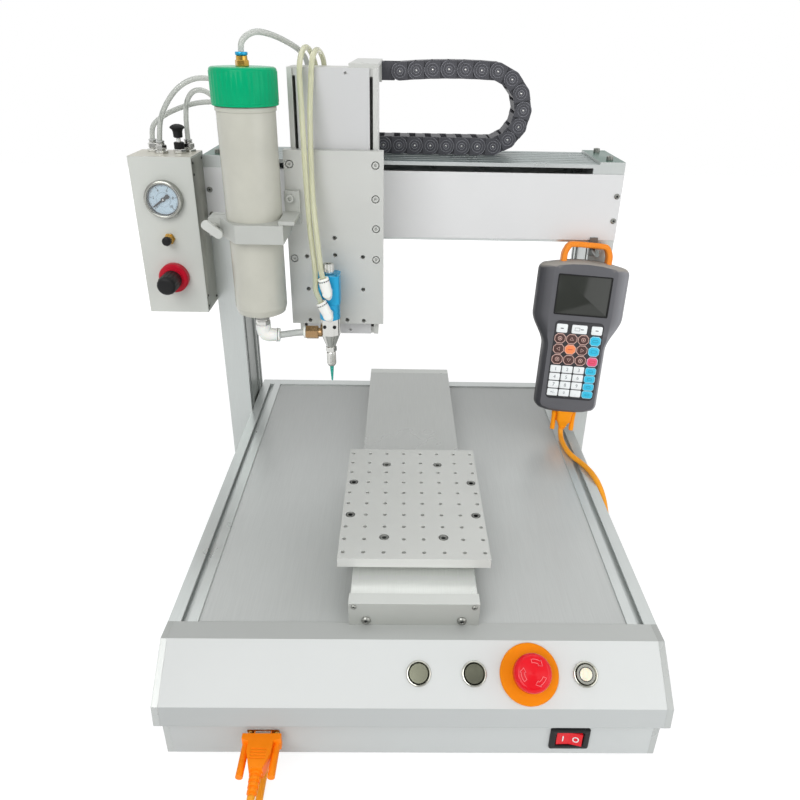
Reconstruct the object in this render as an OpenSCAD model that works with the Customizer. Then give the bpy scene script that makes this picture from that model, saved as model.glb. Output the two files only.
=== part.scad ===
// Desktop glue dispensing machine: a three-axis gantry on a console base, with its dispensing head,
// air control box and teach pendant. X runs along the gantry, Y from the console to the rear, Z up.
// Inside at_base() x is 0 on the machine's centre line, y is 0 at the front strip, z is 0 under the base.

/* [Base] */
// Width of the base over its side rails
base_w = 468; // [450:2:520]
// Depth of the base from the front strip to the back of the rear rail
base_d = 575; // [570:1:620]
// Height of the side rails' top above the underside of the base
base_h = 115; // [111:0.5:125]
// Width of a side rail's top face
rail_w = 28.3; // [26:0.1:34]
// Depth of the rear rail
rear_rail_d = 15; // [12:0.5:20]
// Height of the rails
rail_h = 40; // [36:1:46]
// Width of the T-slots' necks
slot_w = 6.7; // [5:0.1:8]
// Thickness of folded sheet metal
sheet_t = 2; // [1.5:0.1:3]
// Thickness of the deck plate
deck_t = 3; // [2:0.1:5]
// Height of the rubber feet
foot_h = 14; // [10:0.5:25]
// Diameter of the rubber feet
foot_d = 30; // [24:0.5:40]

/* [Console] */
// Height of the front strip below the lip
strip_h = 58.6; // [54:0.2:62]
// Reach of the lip in front of the strip
lip_out = 16.8; // [12:0.2:24]
// Height of the lip's front face
lip_h = 21.9; // [18:0.1:25]
// Depth of the console from the strip to the deck
console_d = 53.5; // [50:0.5:60]
// Thickness of the console's end plates
cheek_t = 6; // [4:0.5:10]
// Diameter of a push button's steel bezel
bezel_d = 22.8; // [21:0.1:26]
// Diameter of the emergency stop's yellow ring
estop_ring_d = 54; // [46:0.5:58]
// Diameter of the emergency stop's mushroom head
estop_head_d = 34; // [30:0.5:40]

/* [Table axis] */
// Width of the tooling plate
table_w = 150; // [144:1:200]
// Length of the tooling plate
table_l = 200; // [190:1:240]
// Thickness of the tooling plate
table_t = 10.2; // [8:0.1:14]
// Pitch of the tooling plate's tapped holes
hole_pitch = 20; // [18:0.5:21]
// Diameter of the tapped holes
tapped_d = 4; // [3:0.1:6]
// Gap between the tooling plate and the axis cover
table_gap = 12; // [11:0.5:20]
// Width of the axis cover
y_cover_w = 121; // [112:1:124]
// Height of the table axis above the base rails
y_axis_h = 26.5; // [25:0.5:34]
// Home distance from the front strip to the middle of the tooling plate
table_y = 187.6; // [180:0.2:200]

/* [Gantry] */
// Height of the gantry's top above the underside of the base
gantry_h = 474.7; // [470:0.1:500]
// Distance from the front strip to the gantry
gantry_y = 469; // [460:1:470]
// Width of a column
col_w = 32; // [28:0.5:40]
// Depth of a column
col_d = 90; // [80:1:96]
// Height of the beam
beam_h = 99.1; // [96:0.1:110]
// Depth of the beam behind its cover
beam_d = 104; // [98:1:104]
// Height of the white beam cover
beam_cover_h = 84; // [80:0.5:84.5]
// Home place of the head along the beam
head_x = -92.25; // [-95:0.25:-85]

/* [Head] */
// Width of the Z housing
z_w = 97.5; // [92:0.5:110]
// Depth of the Z housing
z_d = 52; // [46:1:56]
// Height of the Z housing
z_h = 304.5; // [300:0.5:330]
// Height of the Z housing's lower end above the underside of the base
z_low = 279; // [275:0.5:285]
// Width of the slots at both sides of the Z cover
z_slot = 3.5; // [3:0.1:4.5]
// Width of the drilled Z plate
plate_w = 111; // [105:0.5:116]
// Height of the drilled Z plate
plate_h = 203.5; // [190:0.5:220]
// Thickness of the Z plate
plate_t = 12; // [10:0.5:16]
// Diameter of the glue barrel at its mouth
barrel_d = 63.4; // [58:0.2:66]
// Diameter of the barrel's screw cap
cap_d = 70; // [68:0.5:78]
// Length of the glue barrel below its cap
barrel_l = 222; // [200:1:226]
// Diameter of the valve's blue air cylinder
valve_d = 26; // [22:0.5:30]

/* [Drag chain] */
// Pitch of the drag chain's links
link_pitch = 20.8; // [20:0.1:21.6]
// Height of a link
link_h = 21.5; // [18:0.5:23]
// Width of the drag chain
chain_w = 43; // [38:1:46]
// Links lying on the beam
lower_links = 8; // [7:1:9]
// Links of the upper run
upper_links = 6; // [5:1:7]

/* [Control box and pendant] */
// Width of the control box
box_w = 74.7; // [70:0.5:90]
// Height of the control box
box_h = 194; // [186:1:210]
// Depth of the control box
box_d = 55; // [50:1:70]
// Diameter of the pressure gauge's bezel
gauge_d = 45.5; // [40:0.5:50]
// Half width of the pendant's head
pend_head = 59.8; // [56:0.2:64]
// Half width of the pendant's grip
pend_grip = 42.2; // [40:0.2:46]
// Thickness of the pendant
pend_t = 31; // [27:0.5:33]
// Lean of the pendant, its foot forward
pend_tilt = 12; // [10:0.5:13]

/* [Hidden] */
$fn = 48;

// Running clearance of shafts in their bores, and the gap that parts moving past each other keep
run_gap = 0.06;
free_gap = 0.3;

// Base
half_w = base_w / 2;
rail_z = base_h - rail_h;
rail_ledge = 6;
deck_z = base_h - 2;
rear_y = base_d - rear_rail_d;
slot_in = 15.5;
slot_head = 11;
slot_lip = 2;
slot_depth = 6;
cheek_x = half_w - cheek_t;
foot_in = 44;
foot_front = 45;
foot_rear = base_d - 45;
foot_bore = 5.2;
vent_w = 4;
vent_h = 34;
vent_count = 12;
vent_pitch = 9;
inlet_x = 150;
inlet_w = 27.5;
inlet_h = 20;
inlet_z = 36;
flange_t = 1.5;

// Console outline: strip, lip, slope and ledge
lip_lean = 2.2;
slope_end = 31;
ledge_ridge = 1.6;
console_path = [[0, 0], [0, strip_h], [-lip_out, strip_h], [lip_lean - lip_out, strip_h + lip_h],
    [slope_end, base_h + ledge_ridge], [console_d, base_h]];
slope_low = console_path[3];
slope_high = console_path[4];
slope_a = atan2(slope_high.y - slope_low.y, slope_high.x - slope_low.x);
slope_mid = (slope_low + slope_high) / 2;
start_x = 4.1;
reset_x = 54.7;
estop_x = 105;
lit_x = 156.8;
button_d = 17;
button_h = 3;
bezel_h = 2.2;
button_barrel = 19;
button_len = 26;
estop_stem_d = 16;
estop_neck = 9;
estop_h = 16;
estop_travel = 4.2;
ring_t = 3;
rocker_x = 149.5;
rocker_z = 22.7;
rocker_w = 37.8;
rocker_h = 27;
rocker_hole_w = 31;
rocker_hole_h = 21;
rocker_pivot_y = 1.5;
rocker_tilt = 6;
dsub_x = -140.5;
dsub_z = 27;
dsub_w = 31;
dsub_h = 12.5;
dsub_hole_w = 26;
dsub_hole_h = 11;

// Table axis
y_top = base_h + y_axis_h;
y_block_y = 50.7;
y_block_d = 14;
y_end = base_d - 10;
y_floor_t = 8;
y_wall_t = 4;
y_half = y_cover_w / 2;
y_floor = deck_z + y_floor_t;
guide_w = 12;
guide_h = 7;
guide_x = 36;
y_screw_z = y_floor + 9;
screw_r = 5;
journal_r = 4;
journal_l = 8;
cover_lip = 8.5;
arm_z = y_floor + 5;
arm_t = 5;
saddle_l = 100;
saddle_half = y_half + 11.5;
side_gap = 3.5;
bridge_z = y_top + 3.5;
table_z = y_top + table_gap;
table_top = table_z + table_t;
bridge_l = 160;
hole_cols = 8;
hole_rows = 10;
csk_at = [30, 66.8];
cap_at = [66.5, 30];
table_bolt_d = 5;
bolt_gap = 0.15;
bolt_bore_d = 10;
bolt_sink = 5.4;

// Gantry
col_z = 20;
col_out = half_w + col_w;
cover_t = 2;
beam_y = gantry_y + cover_t;
beam_z = gantry_h - beam_h;
beam_rear = beam_y + beam_d;
beam_bottom_t = 10;
beam_rear_t = 10;
beam_top_t = 4.7;
beam_slot_low = gantry_h - 11.7;
cap_plate_t = 3;
rib_d = 1.2;
rib_w = 5;
rib_count = 6;
band_d = 2;
band_in = 22;
col_slot_in = 10;
x_screw_y = beam_y + 49;
x_screw_z = beam_z + 54;
x_screw_r = 8;
x_journal_r = 6;
x_end_t = 8;
x_guide_w = 12;
x_guide_d = 8;
x_guide_z = [beam_z + 29, beam_z + 76];

// Head depths, counted forward from the gantry
x_gap = 2;
x_block_d = 37;
z_rear = gantry_y - x_gap - x_block_d;
z_front = z_rear - z_d;
plate_gap = 2;
plate_y = z_front - plate_gap - plate_t;
x_block_z = beam_z + 12.4;
tongue_t = 5;
tongue_z = gantry_h - 10.7;
x_block_l = 90;
grommet_x = [head_x - 32.75, head_x - 23.75, head_x - 14.75];
grommet_y = z_rear + 21;
tube_d = 6;
tube_fit = 0.1;

// Z unit
z_top = z_low + z_h;
z_half = z_w / 2;
z_wall = 5.5;
z_cover_half = z_half - z_wall - z_slot;
z_end_t = 8.5;
z_cover_t = 3;
z_back_t = 8;
z_arm_t = z_slot - 1;
z_arm_low = z_low + 121;
z_arm_h = 90;
z_block_half = 38;
z_screw_y = z_front + 26;
plate_low = z_low + 18.5;
plate_x = head_x - 0.25;
plate_half = plate_w / 2;
plate_top = plate_low + plate_h;
z_guide_w = 10;
z_guide_d = 6;
z_guide_x = 26;

// Dispensing head, placed from the Z plate
barrel_x = plate_x - 87;
barrel_y = plate_y - 24;
barrel_top = plate_low + 251;
cap_h = 36;
barrel_low = barrel_top - barrel_l;
barrel_dome = 9;
barrel_wall = 2.2;
barrel_taper = 1.7;
clamp_low = plate_low + 115;
clamp_h = 20;
clamp_k = barrel_d / 63.4;
clamp_r = barrel_d / 2 - 0.9;
clamp_front = barrel_y - 40 * clamp_k;
wing_x = barrel_x - 43.5 * clamp_k;
wing_z = clamp_low + clamp_h / 2;
wing_turn = 37;
wing_bolt_r = 2.5;
arm_left = barrel_x + clamp_r + 1;
arm_w = 17;
valve_x = plate_x - 6.5;
valve_y = plate_y - 29;
body_low = plate_low + 19;
body_high = plate_low + 73;
elbow_stub_r = 3;
elbow_low_z = body_low + 11;
elbow_high_z = body_high - 16;
low_lean = 25;
high_lean = 14;
port_reach = valve_d / 2 + 1.5;
elbow_reach = port_reach + 8;
elbow_mouth = 18;
stroke_stem_r = 3;
stroke_d = 12.4;
stroke_h = 10.8;
fluid_low = plate_low - 42.5;
fluid_d = 24;
cone_top = body_low - 19.5;
cone_low = body_low - 37.5;
luer_r = 5.6;
collar_r = 6.6;
tip_end = plate_low - 63.2;
feed_z = plate_low + 0.1;
spout_z = feed_z - 6;
nut_low = plate_low + 7.7;
nut_h = 7.5;
spout_r = 9;
feed_tube_d = 8;

// Drag chain: lower run on the beam, bend of equal turns, upper run back to the head
link_r = link_h / 2;
bend_links = 6;
connector_l = 23;
chain_y = beam_rear - chain_w - 1;
lower_pin = gantry_h + link_r;
bend_x = head_x + z_half + connector_l + upper_links * link_pitch;
anchor_x = bend_x - lower_links * link_pitch;
anchor_l = 22;
turn = 180 / (bend_links + 1);
link_wall = 5;
layer = 2.5;
layer_gap = 0.2;
pin_r = 3;
head_r = pin_r + 1;
pin_gap = 0.2;
bar_t = 2;
bar_start = 1.2;
inner_bar = link_pitch - 7;
outer_end = link_pitch - link_r - layer_gap;
tab_start = outer_end - 2.3;
tab_r = tab_start - layer_gap;
neck_in = link_pitch - 14;
arch_turn = 1.45;

// Control box on the left column
box_right = -col_out;
box_left = box_right - box_w;
box_front = gantry_y - 49;
box_low = z_low + 9.7;
box_top = box_low + box_h;
gauge_x = box_left + 37.5;
gauge_z = box_top - 49;
needle_valve_z = box_low + 96.5;
regulator_z = box_low + 47.5;
bulkhead = [box_left + 33, box_front + 26.6];
pull_at = [box_left + 54.5, box_front + 29.3];
fitting_at = [box_left + 61.7, box_front + 44];
side_fitting = [box_left + 20, box_front + 40];
beam_fitting_x = [-half_w + 14, -half_w + 28, -half_w + 42];

// Pendant, in its own frame: x to its right, z up its face, y into its body
pend_at = [half_w - 23.3, gantry_y - 79, base_h + 12];
pend_roll = 4;
pend_low = 30.5;
pend_neck = 122;
pend_wide = 166;
pend_shoulder = 222;
pend_top = 232;
pend_crown = 238.5;
pend_bevel = 5;
screen_w = 70.6;
screen_h = 51.8;
screen_v = 192.6;
handle_half = 33.5;
handle_v = 261;
handle_in = 254;
pend_k = pend_head / 59.8;
key_h = 1.2;
key_x = [-23.6, -6.6, 10.2];
side_x = 27;
top_row = 155;
jog_rows = [142, 130, 117.5];
pad_rows = [102.5, 91.5, 80.5, 69.5];

// Origin of the part: the middle of its outline, under the feet
pend_reach = pend_at.x + pend_head * cos(pend_roll) + pend_shoulder * sin(pend_roll);
mid_x = (box_left + pend_reach) / 2;
front_reach = slope_mid.x - (estop_head_d / 2 - 5) * cos(slope_a)
    - (estop_neck + estop_h - 6) * sin(slope_a) - 5;
mid_y = (base_d + flange_t + front_reach) / 2;

// The machine's own frame inside the part's frame
module at_base() {
    translate([-mid_x, -mid_y, foot_h]) children();
}

// Box from its low corner to its high corner
module block(a, b) {
    translate(a) cube(b - a);
}

// Round bars from a point along X, Y or Z
module rod_x(p, r, l) {
    translate(p) rotate([0, 90, 0]) cylinder(r = r, h = l);
}
module rod_y(p, r, l) {
    translate(p) rotate([-90, 0, 0]) cylinder(r = r, h = l);
}
module rod_z(p, r, l) {
    translate(p) cylinder(r = r, h = l);
}

// Extrusions of a profile drawn in (y, z) along X, and in (x, z) along Y
module along_x(from, to) {
    translate([from, 0, 0]) rotate([90, 0, 90]) linear_extrude(to - from) children();
}
module along_y(from, to) {
    translate([0, to, 0]) rotate([90, 0, 0]) linear_extrude(to - from) children();
}

module both_sides() {
    children();
    mirror([1, 0, 0]) children();
}

// Rectangle with round corners, around its own middle
module rounded(w, h, r) {
    square([w - 2 * r, h], center = true);
    square([w, h - 2 * r], center = true);
    for (i = [-1, 1], j = [-1, 1]) translate([i * (w / 2 - r), j * (h / 2 - r)]) circle(r);
}

// T-slot cut that opens upward at the origin
module t_slot() {
    translate([-slot_w / 2, -slot_depth]) square([slot_w, slot_depth + 1]);
    translate([-slot_head / 2, -slot_depth]) square([slot_head, slot_depth - slot_lip]);
}

// Socket head screw standing on the XY plane, with its shank below it
module cap_screw(d, l) {
    difference() {
        cylinder(d = d * 1.7, h = d);
        translate([0, 0, d * 0.4]) cylinder(d = d * 0.95, h = d, $fn = 6);
    }
    if (l > 0) rod_z([0, 0, -l], d / 2, l);
}

// Low round-headed screw on the XY plane
module button_screw(d) {
    difference() {
        union() {
            cylinder(d = d * 1.8, h = d * 0.25);
            translate([0, 0, d * 0.25]) cylinder(d1 = d * 1.8, d2 = d, h = d * 0.3);
        }
        translate([0, 0, d * 0.2]) cylinder(d = d * 0.6, h = d, $fn = 6);
    }
}

function unit(v) = v / norm(v);
function left_of(v) = [-v.y, v.x];
function flipped(v) = [for (i = [len(v) - 1 : -1 : 0]) v[i]];

// Path moved sideways by t to its left, with mitred corners
function moved_path(p, t) = [for (i = [0 : len(p) - 1])
    let (
        before = unit(p[max(i, 1)] - p[max(i, 1) - 1]),
        after = unit(p[min(i, len(p) - 2) + 1] - p[min(i, len(p) - 2)]),
        n = left_of(before),
        m = left_of(after)
    ) p[i] + (n + m) * t / (1 + n * m)];

// Folded sheet along a path, with its thickness on the right of the path
module folded_sheet(p, t) {
    polygon(concat(p, flipped(moved_path(p, -t))));
}

function arc_points(c, r, from, to, n) = [for (i = [0 : n])
    c + r * [cos(from + (to - from) * i / n), sin(from + (to - from) * i / n)]];

// Curve through hand-chosen points, k steps from each to the next
function curve_at(p, i, t) =
    let (
        a = p[max(i - 1, 0)],
        b = p[i],
        c = p[i + 1],
        d = p[min(i + 2, len(p) - 1)]
    ) 0.5 * (2 * b + (c - a) * t + (2 * a - 5 * b + 4 * c - d) * t * t + (3 * b - a - 3 * c + d) * t * t * t);
function curve(p, k) = concat([for (i = [0 : len(p) - 2], j = [0 : k - 1]) curve_at(p, i, j / k)],
    [p[len(p) - 1]]);

// Directions across a route, carried along it without twist
function tangent(p, i) = unit(p[min(i + 1, len(p) - 1)] - p[max(i - 1, 0)]);
function carried(p, i, n) = i >= len(p) ? [] :
    let (t = tangent(p, i), m = unit(n - (n * t) * t)) concat([m], carried(p, i + 1, m));

// Tube of one diameter along a route
module swept_tube(p, d, sides) {
    first = tangent(p, 0);
    start = abs(first.x) < 0.9 ? [1, 0, 0] : [0, 1, 0];
    across = carried(p, 0, start);
    points = [for (i = [0 : len(p) - 1], k = [0 : sides - 1])
        let (a = 360 * k / sides, n = across[i], m = cross(tangent(p, i), n))
        p[i] + d / 2 * (cos(a) * n + sin(a) * m)];
    skin = [for (i = [0 : len(p) - 2], k = [0 : sides - 1])
        let (a = i * sides + k, b = i * sides + (k + 1) % sides)
        [a, a + sides, b + sides, b]];
    first_end = [for (k = [0 : sides - 1]) k];
    last_end = [for (k = [sides - 1 : -1 : 0]) (len(p) - 1) * sides + k];
    polyhedron(points, concat(skin, [first_end], [last_end]));
}

// Frame on the console's slope, with Z out of its face
module on_slope(x) {
    translate([x, slope_mid.x, slope_mid.y]) rotate([slope_a, 0, 0]) children();
}

module base_tray() {
    color("gainsboro") at_base() difference() {
        union() {
            block([-half_w, console_d, 0], [half_w, base_d, sheet_t]);
            block([-cheek_x, sheet_t, 0], [cheek_x, console_d, sheet_t]);
            both_sides() block([half_w - sheet_t, console_d, 0], [half_w, base_d, rail_z]);
            block([-half_w, base_d - sheet_t, 0], [half_w, base_d, rail_z]);
        }
        for (i = [0 : vent_count - 1])
            translate([-150 + i * vent_pitch, base_d, rail_z / 2])
                cube([vent_w, 3 * sheet_t, vent_h], center = true);
        translate([inlet_x, base_d, inlet_z]) cube([inlet_w, 3 * sheet_t, inlet_h], center = true);
        for (x = [-1, 1], y = [foot_front, foot_rear])
            rod_z([x * (half_w - foot_in), y, -1], foot_bore / 2, sheet_t + 2);
    }
}

// Side rail's cross-section, from the outer face inward, with the ledge that carries the deck
module rail_profile() {
    difference() {
        polygon([[0, 0], [0, rail_h], [-rail_w, rail_h], [-rail_w, rail_h - deck_t - 2],
            [-rail_w - rail_ledge, rail_h - deck_t - 2], [-rail_w - rail_ledge, 0]]);
        translate([-slot_in, rail_h]) t_slot();
        translate([0, rail_h / 2]) rotate(-90) t_slot();
        translate([-rail_w - rail_ledge + 4, 5]) square([rail_w - 12, rail_h - 24]);
    }
}

module side_rails() {
    color("silver") at_base() {
        both_sides() translate([half_w, 0, rail_z]) along_y(console_d, rear_y) rail_profile();
        difference() {
            union() {
                block([-half_w, rear_y, rail_z], [half_w, base_d, base_h]);
                inner = half_w - rail_w - rail_ledge;
                block([-inner, rear_y - rail_ledge, rail_z], [inner, rear_y, deck_z - deck_t]);
            }
            along_x(-half_w - 1, half_w + 1) translate([base_d, base_h - rail_h / 2]) rotate(-90) t_slot();
        }
    }
}

module deck_plate() {
    color("darkgray") at_base()
        block([-half_w + rail_w, console_d, deck_z - deck_t], [half_w - rail_w, rear_y, deck_z]);
}

module console_shell() {
    color("white") at_base() difference() {
        along_x(-cheek_x, cheek_x) folded_sheet(console_path, sheet_t);
        for (x = [start_x, reset_x, lit_x])
            on_slope(x) translate([0, 0, -10]) cylinder(d = button_barrel, h = 20);
        on_slope(estop_x) translate([0, 0, -10]) cylinder(d = 22, h = 20);
        block([rocker_x - rocker_hole_w / 2, -1, rocker_z - rocker_hole_h / 2],
            [rocker_x + rocker_hole_w / 2, sheet_t + 1, rocker_z + rocker_hole_h / 2]);
        block([dsub_x - dsub_hole_w / 2, -1, dsub_z - dsub_hole_h / 2],
            [dsub_x + dsub_hole_w / 2, sheet_t + 1, dsub_z + dsub_hole_h / 2]);
    }
}

module console_ends() {
    color("lightgray") at_base() both_sides()
        along_x(cheek_x, half_w) polygon(concat(console_path, [[console_d, 0]]));
}

module feet() {
    color("dimgray") at_base()
        for (x = [-1, 1], y = [foot_front, foot_rear])
            translate([x * (half_w - foot_in), y, -foot_h]) difference() {
                union() {
                    cylinder(d1 = foot_d - 3, d2 = foot_d, h = 3);
                    translate([0, 0, 3]) cylinder(d = foot_d, h = foot_h - 3);
                }
                translate([0, 0, -1]) cylinder(d = foot_bore, h = foot_h + 2);
                translate([0, 0, -1]) cylinder(d = 2 * foot_bore, h = foot_h / 2 + 1);
            }
}

module y_base() {
    color("silver") at_base() {
        difference() {
            union() {
                block([-y_half, y_block_y + y_block_d, deck_z], [y_half, y_end, y_floor]);
                both_sides() block([y_half - y_wall_t, y_block_y + y_block_d, deck_z],
                    [y_half, y_end, y_floor + 3]);
                block([-y_half - 1.5, y_block_y, base_h + free_gap],
                    [y_half + 1.5, y_block_y + y_block_d, y_top]);
                block([-y_half - 1.5, console_d, deck_z], [y_half + 1.5, y_block_y + y_block_d, y_top]);
                block([-y_half, y_end - y_block_d, deck_z], [y_half, y_end, y_top]);
            }
            block([-y_half - 1, rear_y, deck_z - 1], [y_half + 1, y_end + 1, base_h]);
            rod_y([0, y_block_y + y_block_d - journal_l - 1, y_screw_z], journal_r + run_gap, journal_l + 2);
            rod_y([0, y_end - y_block_d - 1, y_screw_z], journal_r + run_gap, journal_l + 2);
        }
        both_sides() block([guide_x - guide_w / 2, y_block_y + y_block_d, y_floor],
            [guide_x + guide_w / 2, y_end - y_block_d, y_floor + guide_h]);
    }
}

module y_cover() {
    lip = [[-y_half, y_top - cover_lip], [-y_half, y_top], [y_half, y_top], [y_half, y_top - cover_lip]];
    color("darkgray") at_base()
        along_y(y_block_y + y_block_d, y_end - y_block_d) folded_sheet(lip, sheet_t);
}

module y_screw() {
    front = y_block_y + y_block_d;
    rear = y_end - y_block_d;
    color("silver") at_base() {
        rod_y([0, front + free_gap, y_screw_z], screw_r, rear - front - 2 * free_gap);
        rod_y([0, front - journal_l + 1, y_screw_z], journal_r, rear - front + 2 * journal_l - 2);
    }
}

// Saddle on the guides, its arms out through the side slots, and the bridge over the cover
module y_carriage() {
    color("lightgray") at_base() difference() {
        union() {
            low = table_y - saddle_l / 2;
            high = table_y + saddle_l / 2;
            block([-y_half + 12, low, y_floor + 2.4], [y_half - 12, high, y_top - 4.5]);
            block([-saddle_half, low, arm_z], [saddle_half, high, arm_z + arm_t]);
            both_sides() block([y_half + side_gap, low, arm_z], [saddle_half, high, table_z]);
            block([-saddle_half, table_y - bridge_l / 2, bridge_z],
                [saddle_half, table_y + bridge_l / 2, table_z]);
        }
        both_sides() block([guide_x - guide_w / 2 - free_gap, table_y - saddle_l, y_floor],
            [guide_x + guide_w / 2 + free_gap, table_y + saddle_l, y_floor + guide_h + free_gap]);
        rod_y([0, table_y - saddle_l, y_screw_z], screw_r + run_gap, 2 * saddle_l);
        for (i = [-1, 1], j = [-1, 1]) {
            rod_z([i * csk_at.x, table_y + j * csk_at.y, bridge_z - 1], table_bolt_d / 2 + bolt_gap, 30);
            rod_z([i * cap_at.x, table_y + j * cap_at.y, arm_z + arm_t + 6], table_bolt_d / 2 + bolt_gap, 50);
        }
    }
}

// Tapped hole places: a grid, less the eight places that the bolts take
function is_bolt(x, y) =
    (abs(abs(x) - 1.5 * hole_pitch) < 1 && abs(abs(y) - 3.5 * hole_pitch) < 1)
    || (abs(abs(x) - 3.5 * hole_pitch) < 1 && abs(abs(y) - 1.5 * hole_pitch) < 1);
table_holes = [for (i = [0 : hole_cols - 1], j = [0 : hole_rows - 1])
    let (x = (i - (hole_cols - 1) / 2) * hole_pitch, y = (j - (hole_rows - 1) / 2) * hole_pitch)
    if (!is_bolt(x, y)) [x, y]];

module table_plate() {
    color("lightgray") at_base() translate([0, table_y, table_z]) difference() {
        block([-table_w / 2, -table_l / 2, 0], [table_w / 2, table_l / 2, table_t]);
        for (p = table_holes) translate([p.x, p.y, -1]) cylinder(d = tapped_d, h = table_t + 2);
        for (i = [-1, 1], j = [-1, 1]) {
            translate([i * csk_at.x, j * csk_at.y, -1]) cylinder(d = table_bolt_d + 2 * bolt_gap, h = 30);
            translate([i * csk_at.x, j * csk_at.y, table_t - bolt_sink]) cylinder(d = bolt_bore_d, h = 30);
            translate([i * cap_at.x, j * cap_at.y, -1]) cylinder(d = table_bolt_d + 2 * bolt_gap, h = 30);
            translate([i * cap_at.x, j * cap_at.y, table_t - bolt_sink]) cylinder(d = bolt_bore_d, h = 30);
        }
    }
}

module table_screws() {
    color("dimgray") at_base() translate([0, table_y, table_top - bolt_sink])
        for (i = [-1, 1], j = [-1, 1], at = [csk_at, cap_at])
            translate([i * at.x, j * at.y, 0]) cap_screw(table_bolt_d, table_t - bolt_sink + 7);
}

// Column cross-section: T-slots near both edges of the wide faces and a shallow band between
module column_profile() {
    difference() {
        square([col_w, col_d]);
        for (y = [col_slot_in, col_d - col_slot_in]) {
            translate([0, y]) rotate(90) t_slot();
            translate([col_w, y]) rotate(-90) t_slot();
        }
        translate([-1, band_in]) square([band_d + 1, col_d - 2 * band_in]);
        translate([col_w - band_d, band_in]) square([band_d + 1, col_d - 2 * band_in]);
        translate([col_w / 2, col_d]) t_slot();
    }
}

module columns() {
    color("silver") at_base() both_sides() {
        translate([half_w, beam_y, col_z]) linear_extrude(gantry_h - col_z) column_profile();
        block([half_w, beam_y, gantry_h], [col_out, beam_rear, gantry_h + cap_plate_t]);
    }
}

// Beam: open at the front, its grooved top over the slot that the head's tongue runs in
module beam_body() {
    color("silver") at_base() {
        difference() {
            block([-half_w, beam_y, beam_z], [half_w, beam_rear, gantry_h]);
            block([-half_w + x_end_t, beam_y - 1, beam_z + beam_bottom_t],
                [half_w - x_end_t, beam_rear - beam_rear_t, gantry_h - beam_top_t]);
            for (i = [1 : rib_count])
                block([-half_w - 1, beam_y + i * beam_d / (rib_count + 1) - rib_w / 2, gantry_h - rib_d],
                    [half_w + 1, beam_y + i * beam_d / (rib_count + 1) + rib_w / 2, gantry_h + 1]);
            rod_x([-half_w + x_end_t - 6, x_screw_y, x_screw_z], x_journal_r + run_gap,
                base_w - 2 * x_end_t + 12);
        }
        for (z = x_guide_z)
            block([-half_w + x_end_t, beam_rear - beam_rear_t - x_guide_d, z - x_guide_w / 2],
                [half_w - x_end_t, beam_rear - beam_rear_t, z + x_guide_w / 2]);
    }
}

module beam_cover() {
    color("white") at_base()
        block([-col_out, gantry_y, beam_slot_low - beam_cover_h], [col_out, beam_y, beam_slot_low]);
}

module x_screw() {
    inner = half_w - x_end_t;
    color("silver") at_base() {
        rod_x([-inner + free_gap, x_screw_y, x_screw_z], x_screw_r, 2 * inner - 2 * free_gap);
        rod_x([-inner - 5, x_screw_y, x_screw_z], x_journal_r, 2 * inner + 10);
    }
}

// Block behind the Z unit, its tongue over the beam cover and the saddle on the beam's guides
module x_carriage() {
    saddle_rear = beam_rear - beam_rear_t - 5;
    color("lightgray") at_base() difference() {
        union() {
            block([head_x - z_half, z_rear, x_block_z], [head_x + z_half, gantry_y - x_gap, gantry_h]);
            block([head_x - x_block_l / 2, gantry_y - x_gap - 1, tongue_z],
                [head_x + x_block_l / 2, beam_y + 14, tongue_z + tongue_t]);
            block([head_x - x_block_l / 2, beam_y + 11, x_guide_z[0] - 10],
                [head_x + x_block_l / 2, saddle_rear, tongue_z + tongue_t]);
            for (x = grommet_x) rod_z([x, grommet_y, gantry_h - 1], tube_d / 2 + 1.4, 5);
        }
        rod_x([head_x - x_block_l, x_screw_y, x_screw_z], x_screw_r + run_gap, 2 * x_block_l);
        for (x = grommet_x) rod_z([x, grommet_y, gantry_h - 12], tube_d / 2 + tube_fit, 20);
        for (z = x_guide_z)
            block([head_x - x_block_l, beam_rear - beam_rear_t - x_guide_d - free_gap,
                z - x_guide_w / 2 - free_gap],
                [head_x + x_block_l, beam_rear, z + x_guide_w / 2 + free_gap]);
    }
}

// Channel with end plates, guides and the bracket of the drag chain's moving end
module z_housing() {
    color("lightgray") at_base() {
        translate([head_x, 0, 0]) {
            difference() {
                block([-z_half, z_front, z_low], [z_half, z_rear, z_top]);
                block([-z_half + z_wall, z_front - 1, z_low + z_end_t],
                    [z_half - z_wall, z_rear - z_back_t, z_top - z_end_t]);
                block([-z_half + z_wall, z_front - 1, z_low - 1],
                    [z_half - z_wall, z_front + z_cover_t, z_top + 1]);
                rod_z([0, z_screw_y, z_low + z_end_t - 7], journal_r + run_gap, z_h - 2 * z_end_t + 14);
            }
            both_sides() block([z_guide_x - z_guide_w / 2, z_rear - z_back_t - z_guide_d, z_low + z_end_t],
                [z_guide_x + z_guide_w / 2, z_rear - z_back_t, z_top - z_end_t]);
        }
        difference() {
            block([head_x + 16.5, z_front + 14, z_top], [head_x + z_half, chain_y + chain_w, z_top + 4]);
            for (y = [z_front + 24, z_rear - 8]) rod_z([head_x + 30, y, z_top - 1], 2.6, 6);
        }
        block([head_x + z_half - 4, chain_y, upper_pin - link_r - 4],
            [head_x + z_half, chain_y + chain_w, z_top]);
    }
}

module z_cover() {
    color("whitesmoke") at_base() difference() {
        block([head_x - z_cover_half, z_front, z_low], [head_x + z_cover_half, z_front + z_cover_t, z_top]);
        for (z = [z_low + 5, z_top - 5]) rod_y([head_x + 14, z_front - 1, z], 1.6, 10);
    }
}

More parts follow.
